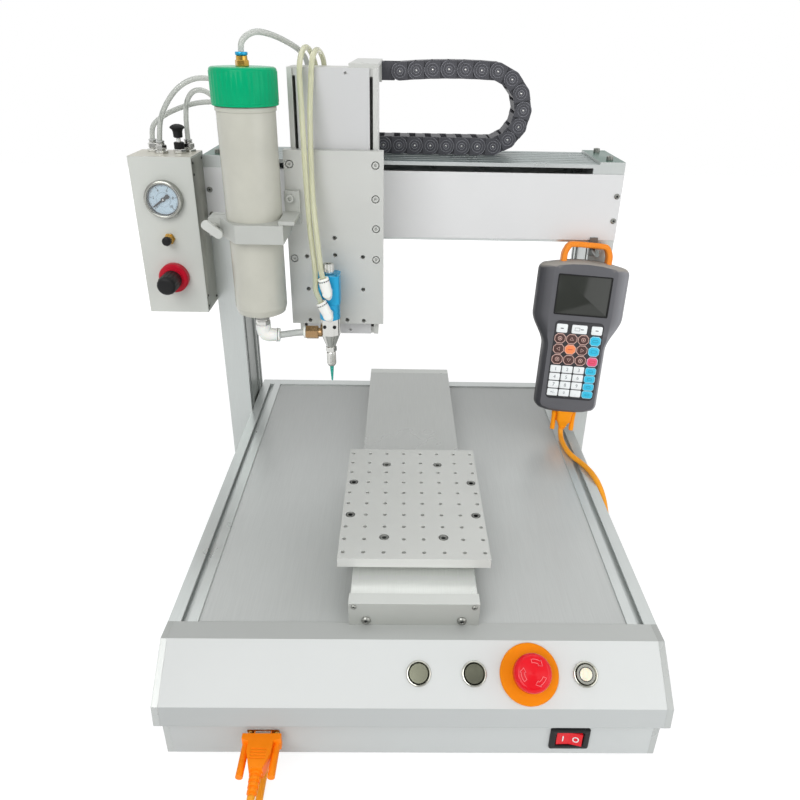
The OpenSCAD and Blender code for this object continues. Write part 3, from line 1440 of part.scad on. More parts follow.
// Keys standing on the face: three wide keys, a jog cluster with side keys, and a number block
module key(x, z, w, h) {
    translate([x, 0, z] * pend_k) rotate([90, 0, 0]) linear_extrude(key_h)
        rounded(w * pend_k, h * pend_k, 1.6 * pend_k);
}
module pendant_keypad() {
    color("white") at_base() on_pendant() {
        for (i = [0 : 2]) key(key_x[0] + i * 24, top_row, i == 1 ? 19 : 13, 10);
        for (z = jog_rows) {
            for (x = key_x) key(x, z, 12.6, 11);
            key(side_x, z - 2, 13, 10);
        }
        for (z = pad_rows) {
            for (x = key_x) key(x, z, 14, 9);
            key(side_x, z - 1, 13, 9.4);
        }
    }
}

module pendant_handle() {
    color("darkorange") at_base() on_pendant() {
        difference() {
            translate([0, 20, 0]) rotate([90, 0, 0]) linear_extrude(14) difference() {
                polygon([[-handle_half, 234], [-handle_half, 245], [-28, 258], [-24, handle_v],
                    [24, handle_v], [28, 258], [handle_half, 245], [handle_half, 234]]);
                polygon([[-26, 230], [-26, 246], [-22, handle_in], [22, handle_in], [26, 246], [26, 230]]);
            }
            translate([0, 30, 0]) rotate([90, 0, 0]) linear_extrude(40) polygon(pend_outline);
        }
        difference() {
            translate([0, 24, 0]) rotate([90, 0, 0]) linear_extrude(20) difference() {
                polygon([[-16, 2], [16, 2], [17, pend_low + 6], [-17, pend_low + 6]]);
                translate([-7, -1]) square([14, 10.5]);
            }
            translate([0, pend_t + 5, 0]) rotate([90, 0, 0])
                linear_extrude(pend_t + 10) polygon(pend_outline);
        }
    }
}

// Pendant cord: from the boot over the right rail, down and back to the coil
cord_d = 7;
cord_z = -foot_h + cord_d / 2;
coil_at = [60, base_d + 58];
coil_r = 38;
coil_w = 2 * cord_d;
pendant_route = [[211.3, 405.4, 131.9], [210.9, 404, 127], [210.2, 400.5, 122.4], [209.6, 394.5, 119.4],
    [209, 386, 118.7], [208.6, 375, 118.6], [209.6, 360, 118.6], [212.4, 342, 118.6], [217, 317, 118.6],
    [223, 292, 118.6], [229, 272, 118.6], [234.5, 257, 118.4], [239, 245, 112], [241.5, 235, 100],
    [243, 226, 82], [244, 220, 62], [245, 218, 42], [246, 221, 22], [247, 230, 5], [248, 244, -6],
    [249, 262, cord_z], [250, 290, cord_z], [250, 520, cord_z], [247, 570, cord_z], [236, 612, cord_z],
    [212, 645, cord_z], [176, 664, cord_z], [135, 671, cord_z], [60, 671, cord_z]];
plug_route = [[-140.5, -62, 27], [-140.5, -68, 26.4], [-140.5, -75, 23], [-140.5, -80, 17],
    [-140.5, -82, 9], [-140.5, -79, 1], [-140.5, -73, -5.5], [-140.5, -64, -9.4], [-140.5, -50, cord_z],
    [-142, 540, cord_z], [-138, 590, cord_z], [-122, 628, cord_z], [-92, 654, cord_z],
    [-50, 668, cord_z], [0, 671, cord_z], [60, 671, cord_z]];

module pendant_cord() {
    color("orange") at_base() {
        swept_tube(pendant_route, cord_d, 8);
        swept_tube(plug_route, cord_d, 8);
    }
}

module cord_coil() {
    color("orange") at_base() translate([coil_at.x, coil_at.y, -foot_h]) rotate_extrude()
        translate([coil_r - coil_w / 2, 0]) square([coil_w, 2 * cord_d]);
}

// D-sub plug on the front strip: shell, hood and its strain relief
module front_plug() {
    hood_y = -40;
    color("orange") at_base() translate([dsub_x, 0, dsub_z]) {
        block([-8.2, -6, -3.8], [8.2, -0.4, 3.8]);
        difference() {
            translate([0, 0, -7.5]) linear_extrude(15)
                polygon([[-18, -5.5], [-18, -11], [-11.5, -13], [-11, -24], [-6.2, hood_y], [6.2, hood_y],
                    [11, -24], [11.5, -13], [18, -11], [18, -5.5]]);
            for (i = [0 : 3]) block([-7, -31 + i * 3, 6.9], [7, -29.6 + i * 3, 8]);
        }
        both_sides() {
            rod_y([14.2, -44, 0], 3.4, 34);
        }
        translate([0, hood_y, 0]) rotate([90, 0, 0]) rotate_extrude() polygon(concat([[0, -4], [5.6, -4]],
            [for (i = [0 : 3], e = [[5.6, 0], [5.6, 3], [4.4, 3], [4.4, 5]])
                [e.x - i * 0.35, i * 5.4 + e.y]], [[3.6, 22], [0, 22]]));
    }
}

base_tray();
side_rails();
deck_plate();
console_shell();
console_ends();
feet();
y_base();
y_cover();
columns();
beam_body();
beam_cover();
chain_lower_run();
pendant_hook();
control_box();
pressure_gauge();
regulator_body();
box_fittings();
panel_fittings();
estop_ring();
frame_screws();
box_tubes();
pendant_cord();
cord_coil();
front_plug();
y_carriage();
table_plate();
table_screws();
y_screw();
x_screw();
x_carriage();
z_housing();
z_cover();
chain_upper_run();
z_screw();
chain_bend();
z_plate();
barrel_clamp();
glue_barrel();
valve_body();
fluid_section();
needle_tip();
feed_line();
air_elbows();
air_tubes();
wing_knob();
barrel_cap();
stroke_knob();
start_button();
reset_button();
lit_button();
estop_head();
rocker_paddle();
regulator_knob();
needle_valve_knob();
gauge_needle();
pull_knob();
pendant_shell();
pendant_handle();
pendant_screen();
pendant_keypad();
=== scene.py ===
"""Looks of a desktop glue dispensing machine: camera, light, finishes, printed faces, tubes and cord."""
import math
import bmesh
import bpy
from mathutils import Matrix, Vector


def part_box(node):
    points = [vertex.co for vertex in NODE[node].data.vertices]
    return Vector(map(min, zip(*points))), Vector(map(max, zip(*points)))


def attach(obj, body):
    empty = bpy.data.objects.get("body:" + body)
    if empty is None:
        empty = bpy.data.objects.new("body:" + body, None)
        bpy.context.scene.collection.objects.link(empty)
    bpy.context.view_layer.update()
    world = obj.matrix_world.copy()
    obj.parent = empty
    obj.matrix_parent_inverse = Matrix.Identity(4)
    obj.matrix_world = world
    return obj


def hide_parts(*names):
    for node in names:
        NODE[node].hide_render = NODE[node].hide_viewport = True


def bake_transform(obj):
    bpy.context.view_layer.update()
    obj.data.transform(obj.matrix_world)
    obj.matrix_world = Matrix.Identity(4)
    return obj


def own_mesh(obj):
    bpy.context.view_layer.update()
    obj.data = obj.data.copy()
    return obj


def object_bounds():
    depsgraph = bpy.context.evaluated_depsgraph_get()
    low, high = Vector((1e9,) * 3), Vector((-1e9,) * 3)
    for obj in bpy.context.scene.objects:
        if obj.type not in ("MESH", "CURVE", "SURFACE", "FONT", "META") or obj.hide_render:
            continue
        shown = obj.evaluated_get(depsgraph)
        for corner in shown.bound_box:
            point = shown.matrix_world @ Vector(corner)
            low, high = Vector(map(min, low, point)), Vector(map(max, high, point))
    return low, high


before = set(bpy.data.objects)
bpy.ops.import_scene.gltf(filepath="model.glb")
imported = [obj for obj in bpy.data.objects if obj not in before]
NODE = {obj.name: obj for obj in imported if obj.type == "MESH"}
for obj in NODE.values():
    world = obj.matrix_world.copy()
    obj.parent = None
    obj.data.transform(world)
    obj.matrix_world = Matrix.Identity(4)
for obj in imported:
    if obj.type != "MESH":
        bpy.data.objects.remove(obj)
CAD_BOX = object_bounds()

MM = 0.001
WHITE = (1, 1, 1, 1)

# The machine's own frame: x from its centre line, y from the front strip, z above the base, in mm
BASE_D = 575
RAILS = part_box("side_rails")
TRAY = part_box("base_tray")
ORIGIN = Vector(((RAILS[0][0] + RAILS[1][0]) / 2, TRAY[1][1] - BASE_D * MM, TRAY[0][2]))
FLOOR_Z = CAD_BOX[0][2]


def at(x, y, z):
    return ORIGIN + Vector((x, y, z)) * MM


def new_object(name, data):
    obj = bpy.data.objects.new(name, data)
    bpy.context.scene.collection.objects.link(obj)
    return obj


# Camera, as calibrated from the plate's holes and the base
CAMERA_AT = at(-18.25, -438.90, 616.67)
YAW, PITCH, ROLL = 1.10, 27.10, 1.22
FOCAL_PX = 696.50
CENTRE_PX = (409.48, 390.70)
IMAGE_PX = 800


def make_camera():
    data = bpy.data.cameras.new("camera")
    data.sensor_width = 36
    data.lens = FOCAL_PX / IMAGE_PX * data.sensor_width
    data.shift_x = (IMAGE_PX / 2 - CENTRE_PX[0]) / IMAGE_PX
    data.shift_y = (CENTRE_PX[1] - IMAGE_PX / 2) / IMAGE_PX
    data.clip_start = 0.01
    camera = new_object("camera", data)
    camera.matrix_world = (Matrix.Translation(CAMERA_AT) @ turn(-YAW, "Z") @ turn(90 - PITCH, "X")
                           @ turn(ROLL, "Z"))
    bpy.context.scene.camera = camera


# Materials
BUMP_DEPTH = 0.1 * MM
SCATTER_DEPTH = 2 * MM
MOULDED_IOR = 1.45
# Where painted light and shade by a face's orientation begins and is full, and where the lightened edges
# (wear and painted highlight) begin and are full
LIT_FACE_SHARES = (0.6, 0.93)
WORN_AND_SHEEN_COSINES = (0.995, 0.80)
MAT = {}


def tone(text):
    """Linear colour of a #RRGGBB screen colour."""
    parts = [int(text[i:i + 2], 16) / 255 for i in (1, 3, 5)]
    return tuple(p / 12.92 if p <= 0.04045 else ((p + 0.055) / 1.055) ** 2.4 for p in parts) + (1,)


class Graph:
    """The node graph of a material or a world."""

    def __init__(self, owner):
        owner.use_nodes = True
        self.tree = owner.node_tree
        self.tree.nodes.clear()

    def node(self, kind, inputs=None, **settings):
        """Outputs of a new node, with its inputs set to values or linked to sockets."""
        made = self.tree.nodes.new("ShaderNode" + kind)
        for name, value in settings.items():
            setattr(made, name, value)
        for key, value in (inputs or {}).items():
            if isinstance(value, bpy.types.NodeSocket):
                self.tree.links.new(value, made.inputs[key])
            else:
                made.inputs[key].default_value = value
        return made.outputs

    def math(self, operation, a, b):
        return self.node("Math", {0: a, 1: b}, operation=operation)[0]

    def mix(self, share, a, b):
        return self.node("MixShader", {0: share, 1: a, 2: b})[0]

    def noise(self, scale, detail=3, stretch=None):
        coord = self.node("TexCoord")["Object"]
        if stretch:
            coord = self.node("Mapping", {"Vector": coord, "Scale": stretch})["Vector"]
        return self.node("TexNoise", {"Vector": coord, "Scale": scale, "Detail": detail,
                                      "Roughness": 0.55})["Fac"]

    def between(self, socket, first, last, low, high):
        """A value of first to last turned into low to high."""
        return self.node("MapRange", {"Value": socket, "From Min": first, "From Max": last, "To Min": low,
                                      "To Max": high})["Result"]

    def spread(self, socket, low, high):
        """A noise value of 0.3 to 0.7 turned into low to high."""
        return self.between(socket, 0.3, 0.7, low, high)

    def along(self, kind, output, axis):
        """One component of a coordinate or normal."""
        return self.node("SeparateXYZ", {"Vector": self.node(kind)[output]})[axis]


def finish(name, colour, rough, metal=0.0, vary=0.03, patch=14, rough_vary=0.05, grain=0.0, grain_mm=0.7,
           brushed=None, edge=0.25, edge_mm=0.5, faces=(), shade=(), specular=0.5, scatter=0.0, clear=0.0,
           alpha=1.0):
    """A surface with uneven tone and gloss, fine grain or brush lines, and softened edges that are lightened,
    partly as wear and partly as a painted highlight.

    faces paints light and shade by orientation: it gives other colours to what looks along an axis, as (axis,
    sign, colour), with two more numbers where the change isn't at LIT_FACE_SHARES of the normal. shade paints
    light and shade along an axis, making the surface darker or lighter, as (axis, start in mm, end in mm,
    share at the start, share at the end). WORN_AND_SHEEN_COSINES are those of the softened with the flat
    normal, where an edge begins to look worn and lit and where it is fully so."""
    material = bpy.data.materials.new(name)
    g = Graph(material)
    cloud = g.noise(patch)
    value = g.spread(cloud, 1 - vary, 1 + vary)
    if brushed:
        fine = g.noise(1.0, 4, brushed)
        value = g.math("MULTIPLY", value, g.spread(fine, 1 - 1.5 * vary, 1 + 1.5 * vary))
    elif grain:
        fine = g.noise(1 / (grain_mm * MM), 2)
        value = g.math("MULTIPLY", value, g.spread(fine, 1 - 0.5 * vary, 1 + 0.5 * vary))
    normal = g.node("Bevel", {"Radius": edge_mm * MM}, samples=2)["Normal"]
    # Softened edges come out lighter by up to edge: worn edges, and a painted highlight along them
    if edge:
        dot = g.node("VectorMath", {0: normal, 1: g.node("NewGeometry")["Normal"]}, operation="DOT_PRODUCT")
        value = g.math("MULTIPLY", value, g.between(dot["Value"], *WORN_AND_SHEEN_COSINES, 1.0, 1 + edge))
    # Painted light and shade: the surface made darker or lighter along an axis
    for axis, start, end, low, high in shade:
        first, last = (ORIGIN[axis] + mm * MM for mm in (start, end))
        along = g.along("TexCoord", "Object", axis)
        value = g.math("MULTIPLY", value, g.between(along, first, last, low, high))
    shown = tone(colour)
    # Painted light and shade by orientation: faces that look along an axis get a lighter or darker colour
    for axis, sign, other, *reach in faces:
        first, last = reach or LIT_FACE_SHARES
        looks = g.between(g.along("NewGeometry", "Normal", axis), first * sign, last * sign, 0.0, 1.0)
        shown = g.node("Mix", {0: looks, 6: shown, 7: tone(other)}, data_type="RGBA")[2]
    tint = g.node("HueSaturation", {"Color": shown, "Value": value})["Color"]
    gloss = g.spread(cloud, rough - rough_vary, rough + rough_vary)
    if grain:
        normal = g.node("Bump", {"Strength": grain, "Distance": BUMP_DEPTH, "Height": fine,
                                 "Normal": normal})["Normal"]
    surface = g.node("BsdfPrincipled", {
        "Base Color": tint, "Roughness": gloss, "Normal": normal, "Metallic": metal, "Alpha": alpha,
        "Specular IOR Level": specular, "Subsurface Weight": scatter, "Subsurface Scale": SCATTER_DEPTH,
        "Transmission Weight": clear})
    g.node("OutputMaterial", {"Surface": surface["BSDF"]})
    MAT[name] = material


def see_through(name, colour, rough, clear):
    """A translucent moulding: part of the light passes, part scatters in the wall."""
    material = bpy.data.materials.new(name)
    g = Graph(material)
    cloud = g.noise(30)
    tint = g.node("HueSaturation", {"Color": tone(colour), "Value": g.spread(cloud, 0.96, 1.04)})["Color"]
    surface = g.node("BsdfPrincipled", {
        "Base Color": tint, "Roughness": g.spread(cloud, rough - 0.03, rough + 0.05), "IOR": MOULDED_IOR,
        "Transmission Weight": clear})
    g.node("OutputMaterial", {"Surface": surface["BSDF"]})
    MAT[name] = material


ALONG_X, ALONG_Y, ALONG_Z = (30, 2500, 2500), (2500, 30, 2500), (2500, 2500, 30)
# Painted light and shade: faces that look up and to the front get darker colours, the console gets lighter
# from left to right, and its strip below z 38 mm is lighter
finish("console", "#E6E8E7", 0.42, vary=0.012, grain=0.25, grain_mm=0.5, edge=0.12,
       shade=((0, -230, 230, 0.94, 1.11), (2, 38, 44, 1.14, 1.0)), faces=((2, 1, "#AFB1AE"),
       (1, -1, "#B2B5B4")))
# Painted shade: the end caps' tops and sides get darker colours than their fronts
finish("console_end", "#B9BCBA", 0.3, metal=0.3, vary=0.02, grain=0.15, grain_mm=0.5, edge=0.3, edge_mm=0.8,
       faces=((2, 1, "#A9ABA8"), (0, 1, "#8F938F"), (0, -1, "#8F938F")))
finish("beam_front", "#D9D9D9", 0.42, vary=0.012, grain=0.25, grain_mm=0.5, edge=0.03)
finish("z_front", "#C6C6C6", 0.4, vary=0.012, grain=0.25, grain_mm=0.5, edge=0.05)
# Painted reflection: the box's top is a warmer, darker grey than its front
finish("box_panel", "#CBCDC7", 0.4, vary=0.02, grain=0.25, grain_mm=0.5, edge=0.1,
       faces=((2, 1, "#C6C3B6"),))
# Painted light: the tray is lighter towards its left end
finish("grey_sheet", "#BAC3C3", 0.45, vary=0.02, grain=0.3, grain_mm=0.5, shade=((0, -234, -60, 1.16, 1.0),))
# Painted light: faces that look to the right are lighter
finish("blasted", "#C6C7C3", 0.5, metal=0.35, vary=0.025, grain=0.55, grain_mm=0.45, edge=0.3,
       faces=((0, 1, "#E4E5E1"),))
finish("blasted_dark", "#B9BBB6", 0.5, metal=0.4, grain=0.5, grain_mm=0.5)
# Painted light: the table's front faces are lighter
finish("table", "#C5C6C2", 0.5, metal=0.35, vary=0.025, grain=0.55, grain_mm=0.45, edge=0.3,
       faces=((1, -1, "#D2D3CF"),))
# Painted light: the block's top is lighter than its sides
finish("y_block", "#B1B3AE", 0.5, metal=0.35, grain=0.55, grain_mm=0.45, edge=0.3,
       faces=((2, 1, "#CDCFCB"),))
# Painted reflection: the beam's top gets a darker, greenish colour
finish("drawn_x", "#C9CDCC", 0.3, metal=0.75, brushed=ALONG_X, grain=0.12, edge=0.2,
       faces=((2, 1, "#83908E"),))
finish("drawn_y", "#C6CAC8", 0.32, metal=0.6, vary=0.02, brushed=ALONG_Y, grain=0.1, edge=0.2)
# Painted shade and reflection: faces that look to the right are darker, and tops get a dark greenish colour
finish("drawn_z", "#C6CAC8", 0.34, metal=0.6, vary=0.02, brushed=ALONG_Z, grain=0.1, edge=0.2,
       faces=((0, 1, "#6F746F"), (2, 1, "#44685C")))
# Painted reflection: the deck is lighter in the middle and darker towards the back and the front edge
finish("deck", "#ABADAB", 0.36, metal=0.25, patch=6, brushed=ALONG_Y, grain=0.05,
       shade=((1, 300, 545, 1.36, 0.95), (1, 60, 250, 0.84, 1.0)))
# Painted light and shade: the cover is lightened up to 2.2 times towards the front, where the table shades
# it, and darkened again at its front edge
finish("cover_sheet", "#B4B6B3", 0.3, metal=0.5, patch=9, brushed=ALONG_Y, grain=0.06,
       shade=((1, 60, 84, 0.62, 1.0), (1, 88, 125, 2.2, 1.0)))
finish("ground", "#BFC0BE", 0.22, metal=1.0, grain=0.1, grain_mm=0.3)
finish("black_steel", "#2A2A2A", 0.4, metal=0.6, vary=0.08, patch=80, grain=0.1)
# edge=0.9 paints strong highlights along the links' edges
finish("chain", "#48484D", 0.5, vary=0.07, patch=70, grain=0.3, grain_mm=0.5, edge=0.9, specular=0.35)
finish("white_metal", "#C6C8C3", 0.35, metal=0.4, patch=60, grain=0.2, edge=0.3)
finish("white_plastic", "#EDEDE8", 0.25, vary=0.015, patch=60, edge=0.0, scatter=0.1)
finish("cord", "#F2A024", 0.42, vary=0.05, patch=50, grain=0.2, grain_mm=0.4, edge=0.0, specular=0.25)
finish("blue", "#1C9FCE", 0.3, metal=0.45, vary=0.05, patch=60, grain=0.2, edge=0.4)
# Painted light and shade: the shell's right flanks are lighter, its left flanks darker, and what looks up
# lighter
finish("pendant", "#5A5A5E", 0.46, vary=0.04, patch=40, grain=0.45, grain_mm=0.4, edge=0.4, edge_mm=0.8,
       faces=((0, 1, "#87878B", 0.15, 0.45), (0, -1, "#3A3A3E", 0.15, 0.45), (2, 1, "#96918A", 0.35, 0.7)),
       specular=0.4)
finish("rubber", "#2C2C2C", 0.75, vary=0.1, patch=60, grain=0.6, grain_mm=0.6)
finish("lamp", "#EFE6CF", 0.3, patch=90, edge=0.0, scatter=0.2)
finish("needle_teal", "#2FB7A6", 0.25, patch=60, edge=0.0, clear=0.35)
# Painted reflection and shade: the side plate is darker towards its front edge and towards its top
finish("box_side", "#A1A297", 0.3, metal=0.55, vary=0.05, patch=20, brushed=ALONG_Z, grain=0.08,
       shade=((1, 420, 445, 0.55, 1.0), (2, 290, 480, 1.15, 0.9)))
finish("glass", "#F2F6F8", 0.06, vary=0.0, rough_vary=0.0, edge=0.0, alpha=0.08)
# Plain metals
for name, colour, rough, metal, vary, patch, edge, edge_mm in (
    ("bright", "#CFCFCB", 0.14, 1.0, 0.02, 40, 0.1, 0.3),
    ("brass", "#C9A24E", 0.22, 1.0, 0.04, 60, 0.2, 0.3),
    ("grey_steel", "#7A7D7B", 0.35, 0.5, 0.04, 60, 0.3, 0.5),
    ("dull_steel", "#6E706C", 0.35, 0.6, 0.06, 80, 0.2, 0.3),
    ("screw_steel", "#8E8F8A", 0.3, 0.85, 0.05, 80, 0.2, 0.3),
    ("bezel_steel", "#BDBDB4", 0.12, 1.0, 0.03, 50, 0.1, 0.3),
    ("button_steel", "#67685A", 0.2, 0.9, 0.03, 50, 0.1, 0.5),
    ("gauge_ring", "#A3A49E", 0.2, 0.9, 0.08, 60, 0.5, 0.6),
    ("old_brass", "#A78863", 0.28, 0.9, 0.06, 70, 0.3, 0.3),
):
    finish(name, colour, rough, metal, vary, patch, edge=edge, edge_mm=edge_mm)
# Plain plastics
for name, colour, rough, vary, patch, grain, edge, specular in (
    ("black_plastic", "#161617", 0.42, 0.08, 60, 0.25, 0.6, 0.25),
    ("green", "#02A26D", 0.22, 0.05, 40, 0.1, 0.2, 0.1),
    ("orange", "#FF8B0A", 0.42, 0.04, 50, 0.15, 0.2, 0.2),
    ("handle", "#EE8A28", 0.4, 0.04, 50, 0.2, 0.2, 0.2),
    ("red", "#DE0018", 0.2, 0.03, 50, 0, 0.1, 0.3),
    ("regulator_red", "#BE0E2A", 0.35, 0.04, 50, 0, 0.15, 0.25),
    ("yellow", "#EA8603", 0.35, 0.03, 40, 0.15, 0.12, 0.12),
    ("dark_panel", "#333336", 0.42, 0.04, 50, 0.15, 0.1, 0.3),
    ("key_brown", "#4A2C28", 0.4, 0.06, 80, 0, 0.3, 0.5),
    ("boot", "#FA9A10", 0.42, 0.04, 50, 0.15, 0.25, 0.2),
    ("grey_plastic", "#9A9A96", 0.4, 0.04, 50, 0, 0.1, 0.5),
    ("screen", "#31332F", 0.1, 0.05, 25, 0, 0.0, 0.4),
):
    finish(name, colour, rough, vary=vary, patch=patch, grain=grain, edge=edge, specular=specular)
# Prints and inks, and the lighter chain lines that paint highlights on the links' rings and rims
for name, colour, rough, vary, patch in (
    ("chain_highlight_line", "#8E8E95", 0.4, 0.05, 70), ("key_white", "#EDF0F0", 0.4, 0.02, 80),
    ("key_cyan", "#2BC0E4", 0.4, 0.03, 80), ("key_pink", "#E8507A", 0.4, 0.03, 80),
    ("key_orange", "#F58A50", 0.4, 0.03, 80), ("ink", "#2A2D30", 0.5, 0.05, 80),
    ("tan_ink", "#E6BFB4", 0.5, 0.05, 80), ("dial", "#BACFDC", 0.45, 0.02, 60),
    ("dial_blue", "#6E8496", 0.5, 0.03, 60), ("red_line", "#FF8A90", 0.3, 0.03, 60),
    ("grey_ink", "#70787C", 0.5, 0.05, 80), ("pale_ink", "#BFE6EE", 0.45, 0.03, 80),
    ("deep_cyan", "#1B8DB0", 0.45, 0.03, 80), ("red_ink", "#D2452E", 0.45, 0.03, 80)
):
    finish(name, colour, rough, vary=vary, patch=patch, edge=0.0)
see_through("barrel", "#D0CFC3", 0.19, 0.22)
see_through("clear_tube", "#CDD0CA", 0.12, 0.55)
see_through("yellow_tube", "#E2E2C4", 0.15, 0.5)
see_through("grey_tube", "#C9CCC8", 0.2, 0.35)

# The CAD nodes that wear each finish
FINISHES = {
    "grey_sheet": "base_tray", "drawn_y": "side_rails", "deck": "deck_plate", "console": "console_shell",
    "console_end": "console_ends", "rubber": "feet", "y_block": "y_base", "cover_sheet": "y_cover",
    "drawn_z": "columns", "drawn_x": "beam_body", "beam_front": "beam_cover",
    "chain": "chain_lower_run chain_upper_run chain_bend", "grey_steel": "pendant_hook",
    "box_panel": "control_box",
    "bright": "pressure_gauge panel_fittings fluid_section wing_knob stroke_knob",
    "regulator_red": "regulator_body", "brass": "box_fittings", "yellow": "estop_ring",
    "ground": "frame_screws y_screw x_screw z_screw", "clear_tube": "box_tubes",
    "cord": "pendant_cord cord_coil", "orange": "front_plug",
    "blasted_dark": "y_carriage x_carriage barrel_clamp", "table": "table_plate",
    "black_steel": "table_screws", "blasted": "z_housing z_plate", "z_front": "z_cover",
    "barrel": "glue_barrel", "blue": "valve_body", "needle_teal": "needle_tip",
    "white_plastic": "feed_line air_elbows", "yellow_tube": "air_tubes", "green": "barrel_cap",
    "button_steel": "start_button reset_button", "bezel_steel": "lit_button",
    "red": "estop_head rocker_paddle", "black_plastic": "regulator_knob needle_valve_knob pull_knob",
    "ink": "gauge_needle", "pendant": "pendant_shell", "handle": "pendant_handle",
    "screen": "pendant_screen", "key_white": "pendant_keypad",
}


def dress_cad():
    for finish_name, nodes in FINISHES.items():
        for name in nodes.split():
            mesh = NODE[name].data
            mesh.materials.clear()
            mesh.materials.append(MAT[finish_name])


# Stage: a white room that mirrors show darker towards the front, and a floor that only catches shadows
FLOOR_HALF = 3.0


def make_world():
    world = bpy.data.worlds.new("studio")
    bpy.context.scene.world = world
    w = Graph(world)
    ray = w.node("LightPath")
    soft = w.node("Background", {"Color": (0.96, 0.98, 1, 1), "Strength": 0.5})[0]
    seen = w.node("Background", {"Color": WHITE, "Strength": 1.0})[0]
    room = w.between(w.along("TexCoord", "Generated", "Y"), -0.95, -0.35, 0.3, 1.0)
    mirrored = w.node("Background", {"Color": WHITE, "Strength": room})[0]
    either = w.math("MAXIMUM", ray["Is Camera Ray"], ray["Is Transmission Ray"])
    lit = w.mix(ray["Is Glossy Ray"], soft, mirrored)
    w.node("OutputWorld", {"Surface": w.mix(either, lit, seen)})


def make_stage():
    bpy.context.scene.view_settings.view_transform = "Standard"
    make_world()
    mesh = bpy.data.meshes.new("floor")
    corners = ((-1, -1), (1, -1), (1, 1), (-1, 1))
    mesh.from_pydata([(x * FLOOR_HALF, y * FLOOR_HALF, FLOOR_Z) for x, y in corners], [], [(0, 1, 2, 3)])
    floor = new_object("floor", mesh)
    material = bpy.data.materials.new("floor")
    g = Graph(material)
    matt = g.node("BsdfPrincipled", {"Roughness": 0.9, "Base Color": (0.8, 0.8, 0.8, 1),
                                     "Specular IOR Level": 0.1})[0]
    glow = g.node("Emission", {"Color": WHITE, "Strength": 1.2})[0]
    ray = g.node("LightPath")
    seen = g.math("MAXIMUM", ray["Is Camera Ray"],
                  g.math("MAXIMUM", ray["Is Glossy Ray"], ray["Is Transmission Ray"]))
    away = g.node("VectorMath", {0: g.node("NewGeometry")["Position"]}, operation="LENGTH")["Value"]
    share = g.math("MULTIPLY", seen, g.between(away, 0.5, 1.4, 0.72, 1.0))
    g.node("OutputMaterial", {"Surface": g.mix(share, matt, glow)})
    mesh.materials.append(material)


def area_light(name, place, target, size, power):
    data = bpy.data.lights.new(name, "AREA")
    data.shape = "RECTANGLE"
    data.size, data.size_y = size
    data.energy = power
    lamp = new_object(name, data)
    lamp.location = place
    lamp.rotation_euler = (target - place).to_track_quat("-Z", "Y").to_euler()


def make_lights():
    middle = at(0, 300, 200)
    area_light("key", at(-700, -1400, 1500), middle, (1.4, 1.4), 24)
    area_light("fill", at(1400, -900, 900), middle, (1.6, 1.6), 11)
    area_light("top", at(100, 900, 1900), middle, (2.0, 1.0), 7)


# Building blocks
def sharp_shading(mesh, angle=0.6):
    bm = bmesh.new()
    bm.from_mesh(mesh)
    bmesh.ops.recalc_face_normals(bm, faces=bm.faces)
    for face in bm.faces:
        face.smooth = True
    for edge in bm.edges:
        edge.smooth = not (len(edge.link_faces) == 2 and edge.calc_face_angle(0) > angle)
    bm.to_mesh(mesh)
    bm.free()


class Parts:
    """Gathers meshes of one or more materials into a single piece."""

    def __init__(self):
        self.bm = bmesh.new()
        self.names = []

    def add(self, mesh, material):
        if material not in self.names:
            self.names.append(material)
        start = len(self.bm.faces)
        self.bm.from_mesh(mesh)
        self.bm.faces.ensure_lookup_table()
        for face in self.bm.faces[start:]:
            face.material_index = self.names.index(material)
        bpy.data.meshes.remove(mesh)
        return self

    def turn(self, place, profile, material, steps=48, **more):
        return self.add(turned(place, profile, steps, **more), material)

    def piece(self, name, body, slot, *stands_for):
        """The piece itself, riding on a body, and standing for CAD nodes."""
        mesh = bpy.data.meshes.new(name)
        self.bm.to_mesh(mesh)
        self.bm.free()
        obj = new_object(name, mesh)
        for material in self.names:
            mesh.materials.append(MAT[material])
        sharp_shading(mesh)
        if body:
            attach(obj, body)
        if stands_for:
            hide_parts(*stands_for)
        return obj


def loft(rings, loop=False):
    """A mesh through rings of equally many points, closed at both ends or from the last ring to the first."""
    count = len(rings[0])
    rows = len(rings)
    verts = [tuple(p) for ring in rings for p in ring]
    faces = []
    for i in range(rows if loop else rows - 1):
        j = (i + 1) % rows
        faces += [(i * count + k, i * count + (k + 1) % count, j * count + (k + 1) % count, j * count + k)
                  for k in range(count)]
    if not loop:
        faces.append(tuple(range(count))[::-1])
        faces.append(tuple(range((rows - 1) * count, rows * count)))
    mesh = bpy.data.meshes.new("loft")
    mesh.from_pydata(verts, [], faces)
    return mesh


def turned(place, profile, steps, loop=False, ribs=0, rib_depth=0.0):
    """A solid turned around Z, from (radius, height[, share of the ribs]) points in mm."""
    rings = []
    for radius, height, *share in profile:
        depth = rib_depth * (share[0] if share else 0)
        ring = []
        for k in range(steps):
            a = 2 * math.pi * k / steps
            r = (radius + depth * abs(math.cos(ribs * a / 2)) ** 3) * MM
            ring.append(Vector((r * math.cos(a), r * math.sin(a), height * MM)))
        rings.append(ring)
    mesh = loft(rings, loop)
    mesh.transform(place)
    return mesh


def chamfered(radius, low, high, cut, rise):
    """Profile of a disc or hexagon whose two rims are cut off by so much, over so much height."""
    return [(radius - cut, low), (radius, low + rise), (radius, high - rise), (radius - cut, high)]


def arc(cx, cy, r, start, end, n):
    return [(cx + r * math.cos(math.radians(start + (end - start) * i / n)),
             cy + r * math.sin(math.radians(start + (end - start) * i / n))) for i in range(n + 1)]


